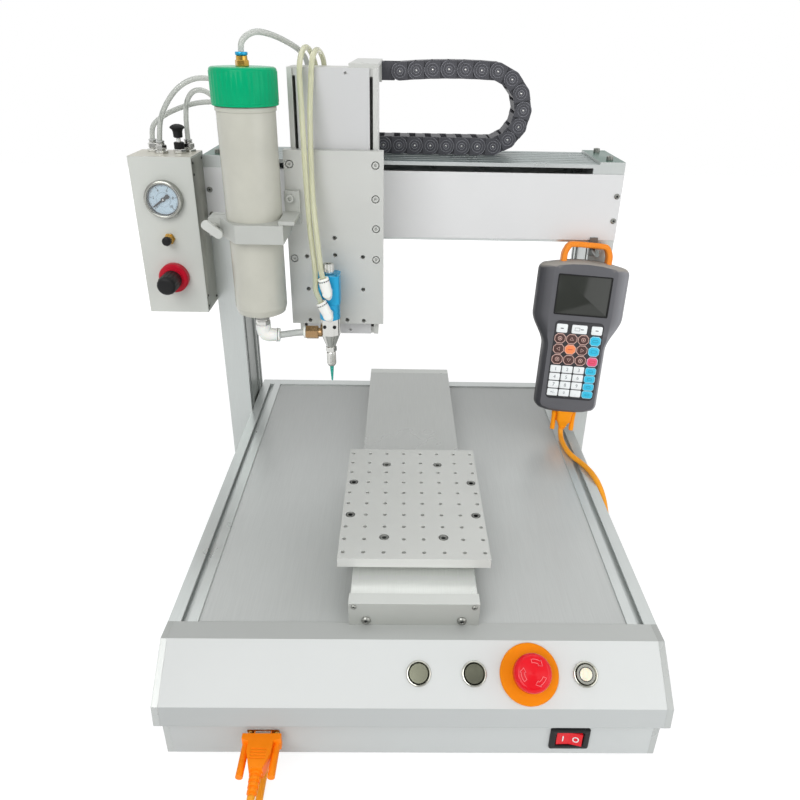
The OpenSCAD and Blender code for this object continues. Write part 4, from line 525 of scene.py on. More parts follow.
def rounded(w, h, r, n=4):
    """Outline of a rectangle with round corners, in mm."""
    x, y = w / 2 - r, h / 2 - r
    return (arc(x, y, r, 0, 90, n) + arc(-x, y, r, 90, 180, n) + arc(-x, -y, r, 180, 270, n)
            + arc(x, -y, r, 270, 360, n))


def inset(outline, d):
    """Outline moved inward by d along its own normals."""
    out = []
    for i, (x, y) in enumerate(outline):
        (ax, ay), (bx, by) = outline[i - 1], outline[(i + 1) % len(outline)]
        tx, ty = bx - ax, by - ay
        size = math.hypot(tx, ty) or 1
        out.append((x - d * ty / size, y + d * tx / size))
    return out


def shifted(outline, x, y):
    return [(px + x, py + y) for px, py in outline]


def stack(place, layers, loop=False):
    """A solid through (outline, height) layers in mm, standing on the XY plane of a place."""
    return loft([[place @ (Vector((x, y, z)) * MM) for x, y in outline] for outline, z in layers], loop)


def block(place, outline, low, high):
    return stack(place, [(outline, low), (outline, high)])


def pad(place, outline, low, high, bevel):
    """A slab with its upper edge bevelled in two steps."""
    return stack(place, [(outline, low), (outline, high - bevel),
                         (inset(outline, 0.3 * bevel), high - 0.3 * bevel), (inset(outline, bevel), high)])


def border(place, outline, width, low, high):
    """A raised line of one width along an outline."""
    inner = inset(outline, width)
    return stack(place, [(outline, low), (outline, high), (inner, high), (inner, low)], loop=True)


def figures(place, text, size, depth=0.12):
    """Mesh of plain figures, standing on the XY plane of a place."""
    curve = bpy.data.curves.new("figures", "FONT")
    curve.body = text
    curve.size = size * MM
    curve.extrude = depth * MM / 2
    curve.resolution_u = 3
    curve.align_x = curve.align_y = "CENTER"
    obj = bpy.data.objects.new("figures", curve)
    mesh = bpy.data.meshes.new_from_object(obj)
    bpy.data.objects.remove(obj)
    bpy.data.curves.remove(curve)
    mesh.transform(place)
    return mesh


def catmull(points, steps):
    """Smooth curve through given points."""
    pts = [Vector(p) for p in points]
    out = []
    for i in range(len(pts) - 1):
        a, b, c, d = pts[max(i - 1, 0)], pts[i], pts[i + 1], pts[min(i + 2, len(pts) - 1)]
        for j in range(steps):
            t = j / steps
            out.append(0.5 * (2 * b + (c - a) * t + (2 * a - 5 * b + 4 * c - d) * t * t
                              + (3 * b - a - 3 * c + d) * t ** 3))
    return out + [pts[-1]]


def smooth_route(route, steps):
    return catmull([at(*p) for p in route], steps)


def tube_mesh(points, radii, sides):
    """A round tube along points in metres, with one radius or one at each point, carried without twist."""
    rings = []
    across = None
    for i, p in enumerate(points):
        t = (points[min(i + 1, len(points) - 1)] - points[max(i - 1, 0)]).normalized()
        across = t.orthogonal().normalized() if across is None else across
        across = (across - across.dot(t) * t).normalized()
        other = t.cross(across)
        size = (radii[i] if isinstance(radii, list) else radii) * MM
        rings.append([p + size * (math.cos(a) * across + math.sin(a) * other)
                      for a in (2 * math.pi * k / sides for k in range(sides))])
    return loft(rings)


# Places: matrices whose XY plane carries what stands on them
SLOPE_AT = (8.2, 98.55)
SLOPE_ANGLE = 38.3675


def move(x, y, z=0.0):
    return Matrix.Translation(Vector((x, y, z)) * MM)


def turn(degrees, axis):
    return Matrix.Rotation(math.radians(degrees), 4, axis)


def standing(x, y, z):
    return Matrix.Translation(at(x, y, z))


def facing_front(x, y, z):
    """A place whose Z points to the front and whose Y points up."""
    return standing(x, y, z) @ turn(90, "X")


def along_x(x, y, z):
    return standing(x, y, z) @ turn(90, "Y")


def on_slope(x):
    """A place on the console's slope, with its Z out of it."""
    return standing(x, *SLOPE_AT) @ turn(SLOPE_ANGLE, "X")


PENDANT = standing(210.7, 390, 127) @ turn(-12, "X") @ turn(4, "Y")
PENDANT_FACE = PENDANT @ turn(90, "X")


# Pendant cord: over the right rail, down and round behind the base, four turns, then under it to the plug.
# FLOOR is the floor's height below the base, and LIE that of a cord that lies on it
CORD_R = 3.5
FLOOR = -14
LIE = FLOOR + CORD_R
PENDANT_ROUTE = [
    (211.3, 405.4, 131.9), (211.0, 404, 127), (210.8, 400.5, 122.4), (210.6, 394.5, 119.4),
    (210.6, 386, 118.7), (211.2, 373, 118.6), (213.2, 359, 118.6), (217.5, 346, 118.6), (223.5, 334, 118.6),
    (229, 321, 118.6), (233.2, 306, 118.3), (236.6, 290, 115.8), (239.3, 275, 109), (241, 262, 98),
    (242.6, 252, 82), (244, 246, 62), (245, 245, 42), (246, 248, 22), (247, 257, 5), (248, 271, -6)] + [
    (x, y, LIE) for x, y in ((249, 290), (250, 315), (250, 360), (250, 430), (250, 520), (247, 570),
                             (236, 612), (212, 645), (176, 665), (135, 673), (95, 674.5))]
PLUG_X = -140.5
PLUG_ROUTE = [(20, 674, FLOOR + 10), (-10, 672.5, FLOOR + 5)] + [
    (x, y, LIE) for x, y in ((-50, 668), (-92, 654), (-122, 628), (-138, 590), (-142, 540), (-142, 440),
                             (-142, 330), (-142, 220), (-141, 110), (PLUG_X, 20), (PLUG_X, -50))] + [
    (PLUG_X, y, z) for y, z in ((-64, -9.4), (-73, -5.5), (-79, 1), (-82, 9), (-80, 17), (-75, 23),
                                (-68, 26.4), (-62, 27))]
COIL_AT = (60, 629.5)
COIL_OUT, COIL_TURNS = 45, 4


def coil_points():
    """Two turns inward on the floor, a climb at the inner end, and two turns outward on top of them."""
    out = []
    steps = 40
    half = COIL_TURNS / 2
    for i in range(COIL_TURNS * steps + 1):
        turns = i / steps
        r = COIL_OUT - 2 * CORD_R * min(turns, 2 * half - turns)
        rise = min(max((turns - half + 0.05) / 0.2, 0), 1)
        z = LIE + 2 * CORD_R * rise * rise * (3 - 2 * rise)
        a = math.pi / 2 + 2 * math.pi * turns
        out.append(at(COIL_AT[0] + r * math.cos(a), COIL_AT[1] + r * math.sin(a), z))
    return out


def make_pendant_cord():
    coil = coil_points()
    first = catmull([at(*p) for p in PENDANT_ROUTE] + coil[:2], 4)
    last = catmull(coil[-2:] + [at(*p) for p in PLUG_ROUTE], 4)
    points = first[:-4] + coil[:-1] + last[4:]
    cord = Parts().add(tube_mesh(points, CORD_R, 14), "cord")
    cord = cord.piece("pendant_cord_tube", None, "orange_cable", "pendant_cord", "cord_coil")
    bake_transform(cord)


# Air tubes of the head, from the cap and the valve's elbows over the Z unit to the beam
TUBE_R = 3
DOWN = [(451, 566), (451, 545), (451, 500), (451, 466)]
CAP_TUBE = [(-179.5, 340, 590.5), (-179.5, 340, 600), (-178, 341, 607.5), (-172, 346, 613.5),
            (-164, 353, 616), (-154, 366, 614), (-144, 385, 609), (-134, 405, 602), (-128, 425, 594),
            (-126, 440, 584)] + [(-125, y, z) for y, z in DOWN]
LOW_TUBE = [(-103.23, 312.5, 336.56), (-107.24, 312.5, 345.17), (-112.2, 315, 356.9), (-112.2, 317.6, 367.9),
            (-113, 321, 384.9), (-117.5, 332, 419.9), (-120.5, 341, 462.9), (-122, 346, 504),
            (-124, 356, 550), (-126, 370, 582), (-125, 390, 598), (-122, 408, 602), (-119, 428, 595),
            (-117, 444, 582)] + [(-116, y, z) for y, z in DOWN]
HIGH_TUBE = [(-101.42, 312.5, 364.2), (-103.72, 312.5, 373.42), (-105.4, 314.4, 380.9),
             (-107, 318.5, 394.9), (-110.2, 328, 419.9), (-112.6, 336, 439.9), (-114.5, 343, 464.9),
             (-115.3, 350, 504), (-115, 358, 545), (-114.3, 370.5, 572), (-113.5, 372.5, 584),
             (-112.5, 381, 594), (-110.5, 394, 599.5), (-109, 416, 598), (-107, 436, 588)] + [
    (-107, y, z) for y, z in DOWN]
BOX_TUBES = [
    [(-307.7, 446.6, 486.7), (-307.7, 446.6, 499.7), (-303.5, 448, 522), (-293, 449, 541), (-279, 450, 556),
     (-262, 453, 565), (-244, 457, 566), (-224, 464, 560), (-206, 471, 546), (-195, 478, 526),
     (-192.2, 482, 507.7), (-192, 484, 491.7), (-192, 484, 478.7)],
    [(-279, 464, 486.7), (-279, 464, 499.7), (-278, 463.5, 522), (-274.6, 463.5, 540), (-266, 464, 551),
     (-254, 466, 552), (-242, 470, 543), (-231, 475, 526), (-221.5, 481, 507.7), (-220, 484, 491.7),
     (-220, 484, 478.7)],
    [(-320.7, 460, 486.7), (-320.7, 460, 499.7), (-317, 461, 513.7), (-300, 463, 526), (-280, 474, 534),
     (-260, 480, 538), (-240, 483, 537), (-222, 484, 528), (-209.2, 484.5, 511.7), (-206, 484, 491.7),
     (-206, 484, 478.7)]]


def air_tube(name, route, material, body, stands_for):
    points = smooth_route(route, 5)
    tube = Parts().add(tube_mesh(points, TUBE_R, 16), material).piece(name, body, "clear_tube", stands_for)
    return tube


def make_air_tubes():
    cap = air_tube("cap_air_tube", CAP_TUBE, "clear_tube", None, "air_tubes")
    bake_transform(cap)
    for name, route in (("valve_low_tube", LOW_TUBE), ("valve_high_tube", HIGH_TUBE)):
        tube = air_tube(name, route, "yellow_tube", None, "air_tubes")
        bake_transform(tube)
    for i, route in enumerate(BOX_TUBES):
        air_tube(f"box_tube_{i + 1}", route, "clear_tube", "root", "box_tubes")


# Drag chain: the upper run's links ride with the head, and spare links ride with the bend.
# Pins of the chain's near side are (x, z, turn of the link that ends there): lower run, bend, upper run
LINK_PITCH = 20.8
BEND_START = (104.3, 485.45)
BEND_LINKS = 7
CHAIN_FRONT = 531
CHAIN_MIDDLE = at(21, 552.5, 485.45)


def copy_of(node, name, body):
    mesh = NODE[node].data.copy()
    mesh.name = name
    obj = new_object(name, mesh)
    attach(obj, body)
    return obj


def make_chain():
    upper = copy_of("chain_upper_run", "chain_upper_links", "head")
    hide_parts("chain_upper_run")
    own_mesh(upper)
    spare = copy_of("chain_lower_run", "chain_spare_links", "chain_bend")
    size = Matrix.Diagonal((0.994, 0.965, 0.965, 1))
    spare.data.transform(Matrix.Translation(CHAIN_MIDDLE) @ size @ Matrix.Translation(-CHAIN_MIDDLE))


def chain_run(angles):
    """Pins of links that follow each other from the bend's start, one at each angle."""
    x, z = BEND_START
    pins = []
    for angle in angles:
        x += LINK_PITCH * math.cos(math.radians(angle))
        z += LINK_PITCH * math.sin(math.radians(angle))
        pins.append((x, z, angle))
    return pins


def link_lines(pins, name, body):
    """Fine raised rings, a pin and a rim line on the round end of each link; the rings and the rim are
    lighter than the link, as painted highlights along their edges.
    """
    lines = Parts()
    for x, z, angle in pins:
        place = facing_front(x, CHAIN_FRONT, z) @ turn(angle, "Z")
        for r, wide, high in ((7.4, 0.45, 0.22), (4.05, 0.55, 0.8), (2.0, 0.4, 0.8)):
            lines.turn(place, [(r - wide, -0.3), (r, -0.3), (r, high), (r - wide, high)], "chain_highlight_line", 40,
                       loop=True)
        lines.turn(place, [(1.0, -0.3), (1.0, 0.2), (0.6, 0.4), (0.01, 0.45)], "bright", 20)
        rim = arc(0, 0, 10.6, -72, 72, 20) + arc(0, 0, 10.1, 72, -72, 20)
        lines.add(block(place, rim, -0.3, 0.2), "chain_highlight_line")
    return lines.piece(name, body, "chain_plastic")


def make_chain_lines():
    lower = [(BEND_START[0] - LINK_PITCH * i, BEND_START[1], 0) for i in range(9)]
    link_lines(lower, "lower_link_lines", "root")
    link_lines(chain_run(180 / BEND_LINKS * k for k in range(1, BEND_LINKS)), "bend_link_lines", "chain_bend")
    arched = chain_run([180 / BEND_LINKS * k for k in range(1, BEND_LINKS)]
                       + [180 + 1.45 * (i - 1.86) for i in range(6)])[BEND_LINKS - 1:]
    lines = link_lines(arched, "upper_link_lines", "head")
    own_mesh(lines)


# Screws: socket heads in the table's counterbores, cap heads on the columns, button heads in front
TABLE_MIDDLE_Y = 187.6
BOLT_SINK = 5.4
COLUMN_TOP = 477.7


def socket_head(parts, place, profile, socket, floor, socket_shade, outside="screw_steel"):
    """A head turned from its profile of (radius, height), with a hexagon socket sunk to a floor, whose dark
    hexagon paints the shade in the socket.
    """
    top = profile[-1][1]
    profile = profile + [(socket + 0.25, top), (socket, top - 0.3), (socket, floor), (socket, 0)]
    parts.turn(place, profile, outside, 40, loop=True)
    parts.turn(place, [(socket + 0.05, floor - 0.4), (socket + 0.05, floor)], socket_shade, 6)


def cap_head(d):
    return [(0.85 * d, 0), (0.85 * d, 0.92 * d), (0.78 * d, d)]


def button_head(d):
    return [(0.9 * d, 0), (0.9 * d, 0.22 * d), (0.8 * d, 0.36 * d), (0.62 * d, 0.5 * d)]


def make_screws():
    seat = (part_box("table_plate")[1][2] - ORIGIN.z) / MM - BOLT_SINK
    table = Parts()
    for across, along, outside in ((66.5, 30, "black_steel"), (30, 66.8, "dull_steel")):
        for x in (-across, across):
            for y in (-along, along):
                place = standing(x, TABLE_MIDDLE_Y + y, seat)
                socket_head(table, place, cap_head(5), 2.2, 2.0, "ink", outside)
                table.turn(place, [(2.5, 4.9), (3.8, 4.9), (3.7, 5.15), (2.6, 5.15)], "screw_steel", 32,
                           loop=True)
                table.turn(place, [(2.5, -11.8), (2.5, 0)], "screw_steel", 24)
    table.piece("table_bolts", "table", "black_steel", "table_screws")
    frame_set = Parts()
    for side in (-1, 1):
        for y in (489, 557):
            socket_head(frame_set, standing(250 * side, y, COLUMN_TOP), cap_head(5), 2.4, 2, "ink")
        for x, y, z, d in ((260.4, 469, 436, 4), (260.4, 469, 404.5, 4), (57, 50.7, 137.5, 3),
                           (45.5, 50.7, 121, 5)):
            place = facing_front(x * side, y, z)
            socket_head(frame_set, place, button_head(d), 0.32 * d, 0.15 * d, "ink")
    frame_set.piece("frame_screw_set", "root", "ground_steel", "frame_screws")


# Console: bezels, rocker, plug socket, inlet and the emergency stop's arrows
LIT_BUTTON_X = 156.8
ESTOP_X = 105
ROCKER_AT = (149.5, 22.7)
PADDLE_SLOPE = 7.6


def make_bezels():
    for name, x in (("start_bezel", 4.1), ("reset_bezel", 54.7), ("lit_bezel", LIT_BUTTON_X)):
        ring = Parts().turn(on_slope(x), [
            (11.4, 0), (11.4, 1.2), (11.1, 1.8), (10.5, 2.2), (9.9, 2.2), (9.0, 1.3), (8.8, 0.4), (8.8, -6),
            (9.4, -6), (9.4, 0)], "bezel_steel", 64, loop=True)
        ring.piece(name, "root", "bright_steel", "panel_fittings")
    lamp = Parts()
    place = on_slope(LIT_BUTTON_X)
    lamp.turn(place, [(6.5, 2.1), (6.5, 2.45), (6.2, 2.6), (5.9, 2.6), (5.7, 2.4), (5.7, 2.1)], "ink",
              loop=True)
    lamp.turn(place, [(5.7, 2.2), (5.7, 2.6), (5.2, 2.9), (2.5, 3.05), (0.01, 3.1)], "lamp")
    lamp.piece("lit_button_lens", "lit_button", "white_plastic")


def make_rocker():
    x, z = ROCKER_AT
    rim = rounded(37.8, 27, 2)
    hole = rounded(26.6, 17.6, 1.2)
    bezel = stack(facing_front(x, 0, z), [
        (rim, 0), (rim, 1.4), (inset(rim, 0.5), 2.2), (inset(rim, 1.2), 2.5), (rounded(28.4, 19.4, 1.4), 2.5),
        (hole, 1.8), (hole, -14)])
    Parts().add(bezel, "black_plastic").piece("rocker_bezel", "root", "black_plastic", "panel_fittings")
    marks = Parts()
    tilted = standing(x, 1.5, z) @ turn(-6, "Z")
    left, right = (tilted @ move(6 * side, -3.25) @ turn(90, "X") @ turn(-PADDLE_SLOPE * side, "Y")
                   for side in (-1, 1))
    marks.add(block(left, rounded(1.1, 7, 0.5), -0.2, 0.3), "key_white")
    marks.add(border(right, rounded(6, 7, 3, 8), 1, -0.2, 0.3), "key_white")
    marks.piece("rocker_marks", "rocker_paddle", "white_plastic")


def make_sockets():
    socket = Parts()
    face = facing_front(-140.5, 0, 27)
    socket.add(pad(face, rounded(31, 12.5, 2), 0, 1, 0.3), "bright")
    socket.add(block(face, rounded(17, 8.2, 2.4), 1, 5.8), "bright")
    for x in (-12.5, 12.5):
        socket.turn(face @ move(x, 0), [(2.6, 1), (2.8, 1.3), (2.8, 4.6), (2.4, 5)], "brass", 6)
    socket.piece("front_socket", "root", "bright_steel", "panel_fittings")

    back = standing(150, BASE_D, 36) @ turn(180, "Z") @ turn(90, "X")
    flange = rounded(39.5, 24, 3)
    well = rounded(22.5, 14, 2)
    inlet = Parts().add(stack(back, [
        (flange, 0), (flange, 1.0), (inset(flange, 0.5), 1.5), (rounded(23.4, 14.9, 2.2), 1.5), (well, 1),
        (well, -14)]), "black_plastic")
    blade = rounded(1.8, 4.2, 0.6)
    for x, y in ((-6.5, 1.2), (0, -2.6), (6.5, 1.2)):
        pin = [(blade, -14), (blade, -2.5), (rounded(1.2, 3.4, 0.5), -1.6)]
        inlet.add(stack(back @ move(x, y), pin), "bright")
    inlet.piece("power_inlet", "root", "black_plastic", "panel_fittings")


def make_arrows():
    """Three curved arrows, as lines, on the emergency stop's head."""
    arrows = Parts()
    for start in (100, 220, 340):
        neck = start - 42
        tip = [(r * math.cos(math.radians(a)), r * math.sin(math.radians(a)))
               for r, a in ((13.0, neck), (9.9, start - 66), (6.8, neck))]
        shape = (arc(0, 0, 11.6, start, neck, 8) + tip + arc(0, 0, 8.2, neck, start, 8))[::-1]
        arrows.add(border(on_slope(ESTOP_X), shape, 0.45, 24.9, 25.25), "red_line")
    arrows.piece("estop_arrows", "estop_head", "red_plastic")


def make_console():
    make_bezels()
    make_rocker()
    make_sockets()
    make_arrows()


# Control box: side plate, gauge, fittings and knobs
BOX_X = -303.2
BOX_FRONT = 420
NEEDLE_VALVE_Z = 385.2
BOX_TOP = 482.7
BEAM_TOP = 474.7
PULL_KNOB_AT = (-286.2, 449.3, BOX_TOP)
DIAL_START, DIAL_SWEEP = 225, 270
DIAL_R = 17.2


def make_box_side():
    side = Parts().add(pad(along_x(-266.1, 444.5, 385.7), rounded(190, 47, 1.2), 0, 0.7, 0.3), "box_side")
    for y, z in ((424.5, 296), (424.5, 475.5), (464, 296), (464, 475.5), (424.5, 462), (424.5, 310)):
        side.turn(along_x(-265.4, y, z), [(1.7, 0), (1.7, 0.35), (1.2, 0.7), (0.7, 0.7), (0.6, 0.3)],
                  "black_steel", 24)
    side.piece("box_side_plate", "root", "white_panel")


def make_gauge():
    place = facing_front(BOX_X, BOX_FRONT, 433.7)

    def on_dial(share, radius):
        return place @ turn(DIAL_START - DIAL_SWEEP * share, "Z") @ move(radius, 0)

    gauge = Parts()
    gauge.turn(place, [
        (22.0, 0), (22.75, 0.7), (22.75, 6.6), (22.3, 8.3), (21.2, 9.0), (20.0, 9.0), (19.2, 8.6),
        (18.7, 8.1), (18.4, 7.2), (18.3, 6.4), (18.3, 3.9)], "gauge_ring", 96)
    # A black inner wall under the bezel's lip paints the shade inside the bezel
    gauge.turn(place, [(18.4, 7.2), (17.9, 6.9), (17.6, 5.6), (17.5, 4.4), (18.6, 4.4)], "black_steel", 96,
               loop=True)
    gauge.turn(place, [(18.9, 3.8), (18.9, 4.6)], "dial", 64)
    for k in range(51):
        inner, wide = (14.0, 0.6) if k % 10 == 0 else (15.2, 0.4) if k % 5 == 0 else (16.0, 0.22)
        tick = rounded(DIAL_R - inner, wide, wide / 3, 1)
        gauge.add(block(on_dial(k / 50, (inner + DIAL_R) / 2), tick, 4.5, 4.75), "ink")
    for k in range(6):
        a = math.radians(DIAL_START - DIAL_SWEEP * k / 5)
        spot = place @ move(11.8 * math.cos(a), 11.8 * math.sin(a), 4.7)
        gauge.add(figures(spot, str(2 * k), 4.6), "ink")
    for k in range(26):
        gauge.add(block(on_dial(k / 25, 8.2), rounded(1.0, 0.2, 0.06, 1), 4.5, 4.72), "dial_blue")
    gauge.turn(place, [(8.9, 4.5), (8.9, 4.72), (8.7, 4.72), (8.7, 4.5)], "dial_blue", 64, loop=True)
    gauge.turn(place, [(1.3, 4.6), (1.3, 6.6), (0.9, 7)], "bright", 24)
    gauge.piece("gauge_case", "root", "bright_steel", "pressure_gauge")
    glass = Parts().turn(place, [(18.85, 8.0), (18.6, 8.3), (9, 8.7), (0.01, 8.8)], "glass", 64)
    glass.piece("gauge_glass", "root", "clear_tube", "pressure_gauge")
    right = [(1.9, -8.8), (2.7, -7), (1.5, -2.4), (2.4, -1.3), (2.6, 0), (2.4, 1.3), (1.3, 2.4), (0.8, 15.5)]
    outline = [(-1.9, -8.8)] + right + [(-px, py) for px, py in right[:0:-1]]
    needle = Parts().add(pad(place @ turn(125, "Z"), outline, 5.9, 6.5, 0.1), "black_plastic")
    needle.piece("gauge_hand", "gauge_needle", "black_plastic", "gauge_needle")


def push_fitting(parts, place):
    parts.turn(place, chamfered(8.3, 0, 3.2, 0.6, 0.5), "bright", 6)
    parts.turn(place, [(5.4, 3.2), (5.4, 4.4)], "bright", 32)
    parts.turn(place, chamfered(7.0, 4.4, 10, 0.7, 0.6), "bright", 6)
    parts.turn(place, [(4.9, 10), (4.9, 11.8), (4.3, 12.2)], "bright", 32)
    parts.turn(place, [(4.1, 12.2), (5.0, 12.8), (5.0, 14.1), (4.7, 14.5), (3.2, 14.5)], "ground", 32)


def make_fittings():
    fittings = Parts()
    for x, y in ((-307.7, 446.6), (-279, 464), (-320.7, 460)):
        push_fitting(fittings, standing(x, y, BOX_TOP))
    for x in (-220, -206, -192):
        spot = standing(x, 484, BEAM_TOP)
        fittings.turn(spot, chamfered(6.5, 0, 4, 0.6, 0.5), "bright", 6)
        fittings.turn(spot, [(5.5, 4), (5.5, 11.6), (4.9, 12)], "bright", 32)
        fittings.turn(spot, [(4.2, 12), (4.6, 12.5), (4.6, 14.2), (4.3, 14.5)], "ground", 32)
    spot = standing(*PULL_KNOB_AT)
    fittings.turn(spot, chamfered(7.5, 0, 5, 0.6, 0.6), "bright", 6)
    fittings.turn(spot, [(5.4, 5), (5.8, 5.4, 1), (5.8, 12.2, 1), (5.2, 13.0)], "black_plastic", 96, ribs=20,
                  rib_depth=0.3)
    spot = facing_front(BOX_X, BOX_FRONT, NEEDLE_VALVE_Z)
    fittings.turn(spot, chamfered(7.0, 0, 3.8, 0.6, 0.5), "brass", 6)
    fittings.turn(spot, [(5.0, 3.8), (5.3, 4.2, 1), (5.3, 9, 1), (5.0, 9.4)], "brass", 96, ribs=24,
                  rib_depth=0.3)
    fittings.piece("box_fittings_set", "root", "brass", "box_fittings")


def make_box_knobs():
    spot = facing_front(BOX_X, BOX_FRONT, NEEDLE_VALVE_Z)
    knob = Parts().turn(spot, [(4.4, 9.6), (4.9, 9.9), (4.9, 10.9), (4.4, 11.2)], "bright")
    knob.turn(spot, [(4.9, 11.2), (5.3, 11.6, 1), (5.3, 15.6, 1), (4.9, 16.6), (3.6, 17.2)],
              "black_plastic", 96, ribs=18, rib_depth=0.25)
    knob.piece("needle_valve_cap", "needle_valve_knob", "brass", "needle_valve_knob")
    knob = Parts().turn(facing_front(BOX_X, 407.6, 336.2), [
        (11.2, 0), (11.8, 0.5), (11.8, 3), (11.5, 3.4), (11.6, 4, 1), (11.6, 23.4, 1), (11.5, 25, 0.3),
        (11.0, 27), (9.8, 28.6), (7.8, 29.3), (0.01, 29.6)], "black_plastic", 180, ribs=18, rib_depth=0.6)
    knob.piece("regulator_grip", "regulator_knob", "black_plastic", "regulator_knob")
    spot = standing(*PULL_KNOB_AT)
    knob = Parts().turn(spot, [(2.6, 11), (2.6, 19.4)], "white_plastic", 24)
    knob.turn(spot, [(4.6, 18.0), (5.4, 18.8), (5.6, 24.5), (6.4, 27), (8.4, 28.6), (8.8, 29.6), (8.2, 30.6),
                     (6.0, 32.2), (3.0, 33.2), (0.01, 33.5)], "black_plastic")
    knob.piece("pull_knob_grip", "pull_knob", "black_plastic", "pull_knob")


def make_box():
    make_box_side()
    make_gauge()
    make_fittings()
    make_box_knobs()


# Dispensing head: wing knob, cap, elbows, feed line and screws
BARREL_AT = (-179.5, 340)
VALVE_X = -99
FEED_Z = 291.6


def make_wing_knob():
    hub = facing_front(-223, 340, 422.5)
    wing = Parts().turn(hub, [(2.5, -25), (2.5, 12)], "bright", 24)
    wing.turn(hub, [(4.6, 6.4), (5, 6.8), (5, 16.5), (5.6, 17), (5.6, 18)], "bright", 40)
    blade = rounded(26, 10.4, 5, 8)
    wing.add(stack(hub @ turn(-37, "Z"), [(inset(blade, 0.6), 16.8), (blade, 17.4), (blade, 20.4),
                                          (inset(blade, 0.4), 21), (inset(blade, 1.3), 21)]), "white_metal")
    wing.piece("wing_grip", "wing_knob", "bright_steel", "wing_knob")


def make_cap():
    place = standing(*BARREL_AT, 548.5)
    cap = Parts().turn(place, [
        (29.0, 3), (29.0, 0), (33.9, 0), (34.3, 0.5), (34.3, 1.9), (34.0, 2.3), (34.1, 2.8, 1),
        (34.1, 31.8, 1), (34.0, 32.6), (34.0, 33.4), (33.2, 35), (31.6, 35.9), (8, 36)],
        "green", 320, ribs=40, rib_depth=0.4)
    cap.piece("cap_grip", "barrel_cap", "green_plastic", "barrel_cap")
    inlet = Parts().turn(place, chamfered(7.0, 36, 42, 0.6, 0.6), "brass", 6)
    inlet.turn(place, [(5.75, 42), (5.75, 45.4), (5.3, 46)], "brass", 32)
    inlet.turn(place, [(4.9, 46), (6.0, 46.4), (6.3, 47), (6.3, 48.8), (5.9, 49.4), (3.2, 49.4)], "blue", 40)
    inlet.piece("cap_inlet", "barrel_cap", "brass", "barrel_cap")


def make_elbows():
    for name, z, lean in (("elbow_low", 327.5, 25), ("elbow_high", 354.5, 14)):
        spot = standing(VALVE_X, 312.5, z) @ turn(-lean, "Y")
        elbow = Parts().turn(spot, [
            (0.4, -8.6), (1.6, -8.2), (2.9, -6.9), (4.6, -4.1), (5.5, -1.6), (5.8, 0.8), (6.0, 5), (6.25, 8),
            (6.25, 13.6), (5.75, 14.0), (5.75, 15.2), (6.25, 15.6), (6.2, 17.3), (5.7, 18), (4.3, 18),
            (3.5, 17.3), (3.3, 12)], "white_plastic")
        elbow.turn(facing_front(VALVE_X, 320.5, z), [(5.2, 0), (5.2, 8)], "white_plastic", 32)
        elbow.turn(facing_front(VALVE_X, 311.5, z), [(4.6, 0), (5.3, 0.5), (5.3, 3.0), (4.4, 4.2), (2.0, 4.8),
                                                     (0.01, 4.9)], "white_plastic", 32)
        for k in range(14):
            dash = spot @ turn(360 * k / 14, "Z") @ move(5.8, 0, 14.6) @ turn(90, "Y")
            elbow.add(pad(dash, rounded(0.95, 1.55, 0.2, 2), -0.3, 0.32, 0.08), "ink")
        elbow.piece(name, "tool", "white_plastic", "air_elbows")


def make_feed_line():
    x, y = BARREL_AT
    base = standing(x, y, 0)
    outlet = Parts().turn(base, [(7.6, 311), (7.6, 318.6)], "grey_plastic", 40)
    outlet.piece("barrel_outlet", "tool", "barrel_plastic", "feed_line")
    nut = Parts().turn(base, chamfered(8.6, 305.4, 311, 0.9, 0.7), "bright", 6)
    nut.turn(base, [(7.4, 311), (7.8, 311.2), (7.8, 312.2), (7.4, 312.5)], "bright", 40)
    nut.piece("outlet_nut", "tool", "bright_steel", "feed_line")
    bend = [(0, 305.6, 7.9), (0, 304.4, 8.8), (0, 300, 8.9), (0.5, 296, 8.8), (2.6, 293, 8.6),
            (6, 291.7, 8.3), (10, FEED_Z, 7.9), (15.4, FEED_Z, 7.7), (16.4, FEED_Z, 7.2)]
    spout = Parts().add(tube_mesh([at(x + dx, y, z) for dx, z, r in bend], [r for dx, z, r in bend], 40),
                        "white_plastic")
    end = along_x(x, y, FEED_Z)
    spout.turn(end, [(7.6, 14.2), (8.3, 14.5), (8.4, 16.3), (8.0, 16.6)], "white_plastic")
    spout.turn(end, [(7.9, 16.6), (7.9, 17.3)], "ink")
    spout.turn(end, [(8.0, 17.3), (8.2, 17.5), (7.9, 19), (6.6, 19.4), (4.1, 19.4)], "white_plastic")
    spout.piece("outlet_elbow", "tool", "white_plastic", "feed_line")
    feed = [(x + 15, y, FEED_Z), (x + 20, y, 291.7), (x + 27, y - 1, 293.1), (x + 36, y - 3, 295.4),
            (x + 43, 335.5, 296.8), (-127, 335, 297.6)]
    hose = Parts().add(tube_mesh(smooth_route(feed, 5), 4, 20), "grey_tube")
    hose.piece("feed_tube", "tool", "clear_tube", "feed_line")
    end = along_x(-128.4, 335, 297.6)
    inlet = Parts().turn(end, chamfered(8.3, 0, 15, 0.8, 0.8), "old_brass", 6)
    inlet.turn(end, [(4.2, -2.6), (6.6, -2.4), (7.1, -1.6), (7.1, -0.4), (6.8, 0)], "white_plastic", 40)
    inlet.turn(end, [(5.4, 15), (5.4, 19)], "old_brass", 32)
    inlet.piece("fluid_inlet", "tool", "brass", "feed_line")


def make_head():
    make_wing_knob()
    make_cap()
    make_elbows()
    make_feed_line()
    screws = Parts()
    for side in (-1, 1):
        screws.turn(facing_front(VALVE_X + 5.8 * side, 324.6, 308.5),
                    [(2.0, -2), (2.0, 1.4), (1.7, 1.7), (0.9, 1.7), (0.8, 0.7)], "black_steel", 24)
    screws.piece("fluid_screws", "tool", "black_steel")


